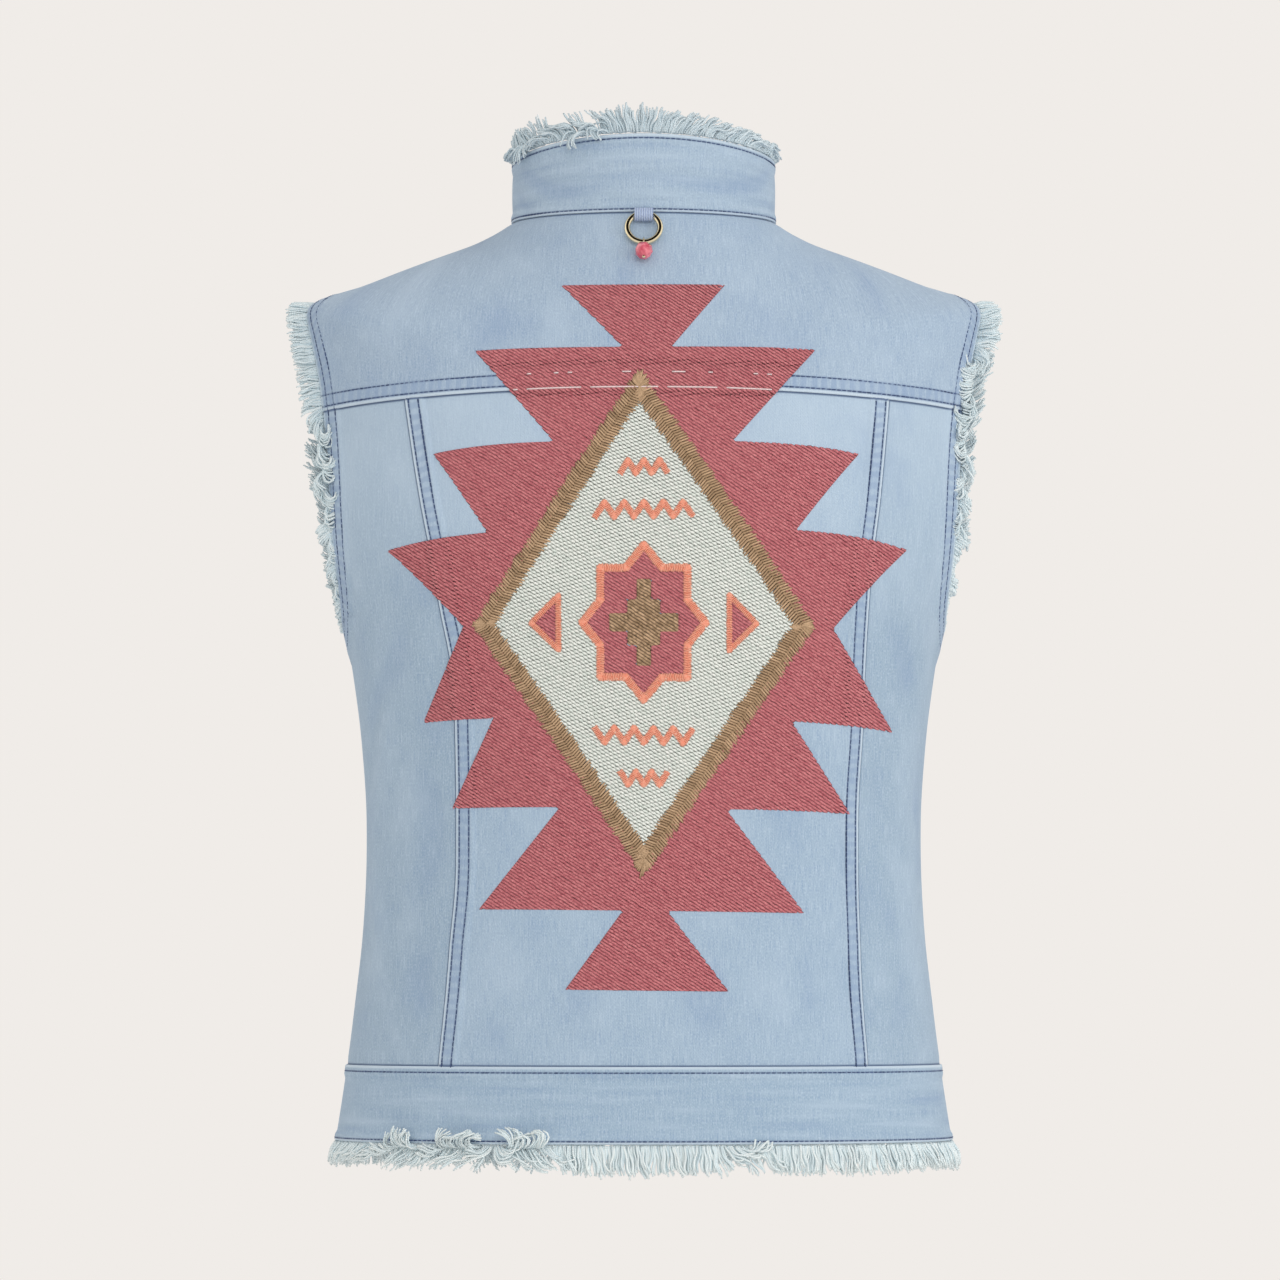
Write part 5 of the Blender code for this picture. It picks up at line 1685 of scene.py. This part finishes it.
def faceted(name, profile, origin, axis, steps, material, body):
    """As a turned shape, but each ring is turned on by half a step, so that the faces are crossing
    triangles."""
    radius, height = profile.T[:, :, None] * MM
    rows = np.arange(len(profile))[:, None]
    turn = (np.arange(steps) + 0.5 * (rows % 2))[..., None] * 2 * math.pi / steps
    ring = np.cos(turn) * ACROSS + np.sin(turn) * np.cross(axis, ACROSS)
    points = origin + height[..., None] * axis + radius[..., None] * ring
    here = wrapped_faces(len(profile), steps, closed_rows=True).reshape(len(profile), steps, 4)
    even = np.concatenate([here[::2][..., [0, 1, 3]], here[::2][..., [1, 2, 3]]])
    odd = np.concatenate([here[1::2][..., [0, 1, 2]], here[1::2][..., [0, 2, 3]]])
    faces = np.concatenate([even, odd]).reshape(-1, 3)
    thing = put_mesh(name, points, faces.tolist(), [material], body)
    thing.data.shade_flat()
    return thing


def stone(name):
    """Rose-pink stone with paler clouds under a hard polish."""
    f = Finish(name, Roughness=0.12, Coat_Weight=0.6, Coat_Roughness=0.05)
    cloud = f.noise(f.place(), 260, 4)
    colour = f.mix(f.soft_step(cloud, 0.42, 0.72), display(196, 76, 97), display(232, 132, 146))
    return f.surface(colour)


bead = faceted("pink_bead", profile[::-1], BEAD_PIVOT, bead_way, BEAD_SIDES, stone("pink_stone"), "bead")
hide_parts("bead")

bead_side = np.cross(ACROSS, bead_way)
eye = np.radians(np.linspace(EYE_START, EYE_END, EYE_STEPS))[:, None]
path = BEAD_PIVOT + EYE_RADIUS * (np.sin(eye) * bead_side + np.cos(eye) * bead_way)
shank = np.concatenate([PIN_NECK, BEAD_DROP + BEAD_RADIUS + PIN_PAST_BEAD]) * MM
path = np.concatenate([path, BEAD_PIVOT + shank[:, None] * bead_way])
thick = np.concatenate([np.ones(len(eye) + 3), [2.1, 2.3, 2.0, 1.0]]) * PIN_WIRE
pin = swept("bead_pin_wire", path, ACROSS, thick, PIN_SIDES, GOLD, "bead")
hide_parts("bead_pin")
print("ring, bead and pin made")

# %% Loop tape
LOOP_WIDTH = 10.5 * MM
LOOP_RADIUS = 3.7 * MM
LOOP_HOLE = 2.8 * MM
LOOP_STEPS = 64
TAPE_RIB = 1.3 * MM
LOOP_ROOT = 0.9 * MM
LOOP_ROOT_LIFT = 1.1 * MM
LOOP_ROOT_STEPS = 3.2
LOOP_SECTION = ((-1, 0.5), (-1, 0), (-0.93, -0.12), (0.93, -0.12), (1, 0), (1, 0.5), (1, None), (-1, None))


def tape(name):
    """Ribbed tape: narrow ribs along its length and a fine weave across; the colour is painted darker in the
    troughs between ribs as shade.
    """
    f = Finish(name, Roughness=0.8, Sheen_Weight=0.1)
    across, _, _ = f.parts(f.place())
    rib = (across * (2 * math.pi / TAPE_RIB)).wave()
    grain = f.noise(f.place(), 1600, 2)
    # Painted shade: the colour follows the rib wave, darkest in the troughs between ribs.
    factor = f.soft_step(rib, -1.0, 1.0) * 0.6 + grain * 0.4
    colour = f.mix(factor, display(150, 171, 214), display(200, 216, 240))
    return f.surface(colour, rib + grain, 0.3 * MM)


root_at = NECK - LOOP_ROOT
root = BODY.point(BACK, root_at) + LOOP_ROOT_LIFT * BODY.normal(BACK, root_at) - RING_PIVOT
step = np.arange(LOOP_STEPS)
turn = step * 2 * math.pi / LOOP_STEPS + math.atan2(root[2], root[1])
swell = np.exp(-((np.minimum(step, LOOP_STEPS - step) / LOOP_ROOT_STEPS) ** 2))
outer = LOOP_RADIUS + (np.linalg.norm(root) - LOOP_RADIUS) * swell
points = []
for x, shrink in LOOP_SECTION:
    reach = outer * 0 + LOOP_HOLE if shrink is None else outer - shrink * (outer - LOOP_HOLE)
    across = np.full(LOOP_STEPS, x * LOOP_WIDTH / 2)
    y, z = RING_PIVOT[1] + reach * np.cos(turn), RING_PIVOT[2] + reach * np.sin(turn)
    points.append(np.stack([across, y, z], axis=1))
faces = wrapped_faces(len(points), LOOP_STEPS, closed_rows=True).tolist()
loop_piece = put_mesh("loop_tape", np.stack(points), faces, [tape("ribbed_tape")])
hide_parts("hanger_loop")
print("loop made,", len(loop_piece.data.polygons), "faces")

# %% [markdown]
# ## Front buttons
# The photograph does not show the front, so its closing is plain: jeans buttons of aged metal, a rim
# round a sunk face. A turned profile is enough, and the places come from the solids.

# %% Buttons
BUTTON_PROFILE = (
    (0, 3.35), (3.0, 3.3), (5.4, 3.1), (5.9, 2.9), (6.3, 3.0), (6.7, 3.5), (7.3, 3.85), (7.9, 3.7),
    (8.35, 3.2), (8.5, 2.6), (8.4, 2.0), (8.0, 1.72), (6.5, 1.5), (5.6, 1.2), (5.5, 0.6), (5.5, 0), (0, 0),
)
BUTTON_SEAT = 1.9 * MM
BUTTON_STEPS = 48
AGED = brushed("aged_metal", (150, 134, 112), 0.32, (196, 180, 154))
for node in [f"button_{i}" for i in range(1, 6)] + ["waistband_button"]:
    low, high = (np.array(corner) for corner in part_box(node))
    middle = (low + high) / 2
    angle = np.array(FRONT)
    normal = BODY.normal(angle, BODY.at_height(angle, np.array(middle[2])))
    seat = middle - normal * BUTTON_SEAT
    button = turned(f"{node}_metal", BUTTON_PROFILE, seat, normal, BUTTON_STEPS, AGED, "vest")
    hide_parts(node)
print("buttons made")

# %% [markdown]
# ## Stage
# The photograph has an even pale ground, soft light from the front, and a long lens a little below the
# middle. The floor takes the ground's colour, so that no edge shows. For what mirrors see, the sky has a
# dark band beside a bright one, as over the lamps of a studio.

# %% Camera
CAMERA_PLACE = (-0.0021, -4.0, -0.42)
CAMERA_AIM_Z = -0.2362
SENSOR = 36.0
PIXELS = 1280
METRES_PER_PIXEL = 0.565 * MM
camera_data = bpy.data.cameras.new("camera")
camera_data.sensor_width = SENSOR
camera_data.lens = SENSOR * abs(CAMERA_PLACE[1]) / (PIXELS * METRES_PER_PIXEL)
camera = bpy.data.objects.new("camera", camera_data)
camera.location = CAMERA_PLACE
camera.rotation_euler.x = math.pi / 2 + math.atan2(CAMERA_AIM_Z - CAMERA_PLACE[2], -CAMERA_PLACE[1])
bpy.context.scene.collection.objects.link(camera)
bpy.context.scene.camera = camera
print(f"lens {camera_data.lens:.1f} mm")

# %% Ground, sky and lamps
GROUND = display(240, 236, 232)
FLOOR_Z = -1.3
FLOOR_HALF = 30.0
SKY_UP, SKY_TOWARD = 0.736, 0.69
DARK_SKY, BRIGHT_SKY = (0.015, 0.013, 0.01, 1), (1.15, 1.12, 1.05, 1)
scene = bpy.context.scene
scene.view_settings.view_transform = "Standard"

ground = bpy.data.materials.new("ground")
ground.use_nodes = True
ground.node_tree.nodes.clear()
paint = Nodes(ground.node_tree)
glow = paint.node("Emission", {}, {"Color": GROUND})
paint.node("OutputMaterial", {}, {"Surface": Value(paint, glow.outputs[0])})
floor_mesh = bpy.data.meshes.new("floor")
corners = [(x * FLOOR_HALF, y * FLOOR_HALF, FLOOR_Z) for x, y in ((-1, -1), (1, -1), (1, 1), (-1, 1))]
floor_mesh.from_pydata(corners, [], [(0, 1, 2, 3)])
floor_mesh.materials.append(ground)
floor = bpy.data.objects.new("floor", floor_mesh)
scene.collection.objects.link(floor)

world = bpy.data.worlds.new("studio")
scene.world = world
world.use_nodes = True
sky = Nodes(world.node_tree)
_, toward, height = sky.parts(Value(sky, sky.node("TexCoord", {}, {}).outputs["Generated"]))
lit = sky.soft_step(height * SKY_UP - toward * SKY_TOWARD, 0.78, 0.6)
seen = sky.mix(lit, DARK_SKY, BRIGHT_SKY)
plain = world.node_tree.nodes["Background"]
plain.inputs["Color"].default_value = GROUND
mirrored_sky = sky.node("Background", {}, {"Color": seen})
glossy = Value(sky, sky.node("LightPath", {}, {}).outputs["Is Glossy Ray"])
shaders = [Value(sky, node.outputs[0]) for node in (plain, mirrored_sky)]
shown = sky.node("MixShader", {}, {0: glossy, 1: shaders[0], 2: shaders[1]})
sky.plug(world.node_tree.nodes["World Output"].inputs["Surface"], Value(sky, shown.outputs[0]))

# Each lamp's place, size and power.
LAMP_AIM = np.array([0, 0, -0.24])
LAMPS = {
    "front_lamp": (0.7, -3.3, 1.0, 1.8, 21),
    "side_lamp": (2.6, -1.9, 0.2, 1.6, 18),
}
for name, (x, y, z, size, power) in LAMPS.items():
    lamp = bpy.data.lights.new(name, "AREA")
    lamp.shape, lamp.size, lamp.energy = "DISK", size, power
    thing = bpy.data.objects.new(name, lamp)
    thing.visible_glossy = False
    thing.location = (x, y, z)
    aim = LAMP_AIM - np.array([x, y, z])
    tilt, turn = math.atan2(math.hypot(aim[0], aim[1]), -aim[2]), math.atan2(aim[1], aim[0]) - math.pi / 2
    thing.rotation_euler = (tilt, 0, turn)
    scene.collection.objects.link(thing)
print("stage set with", len(LAMPS), "lamps")
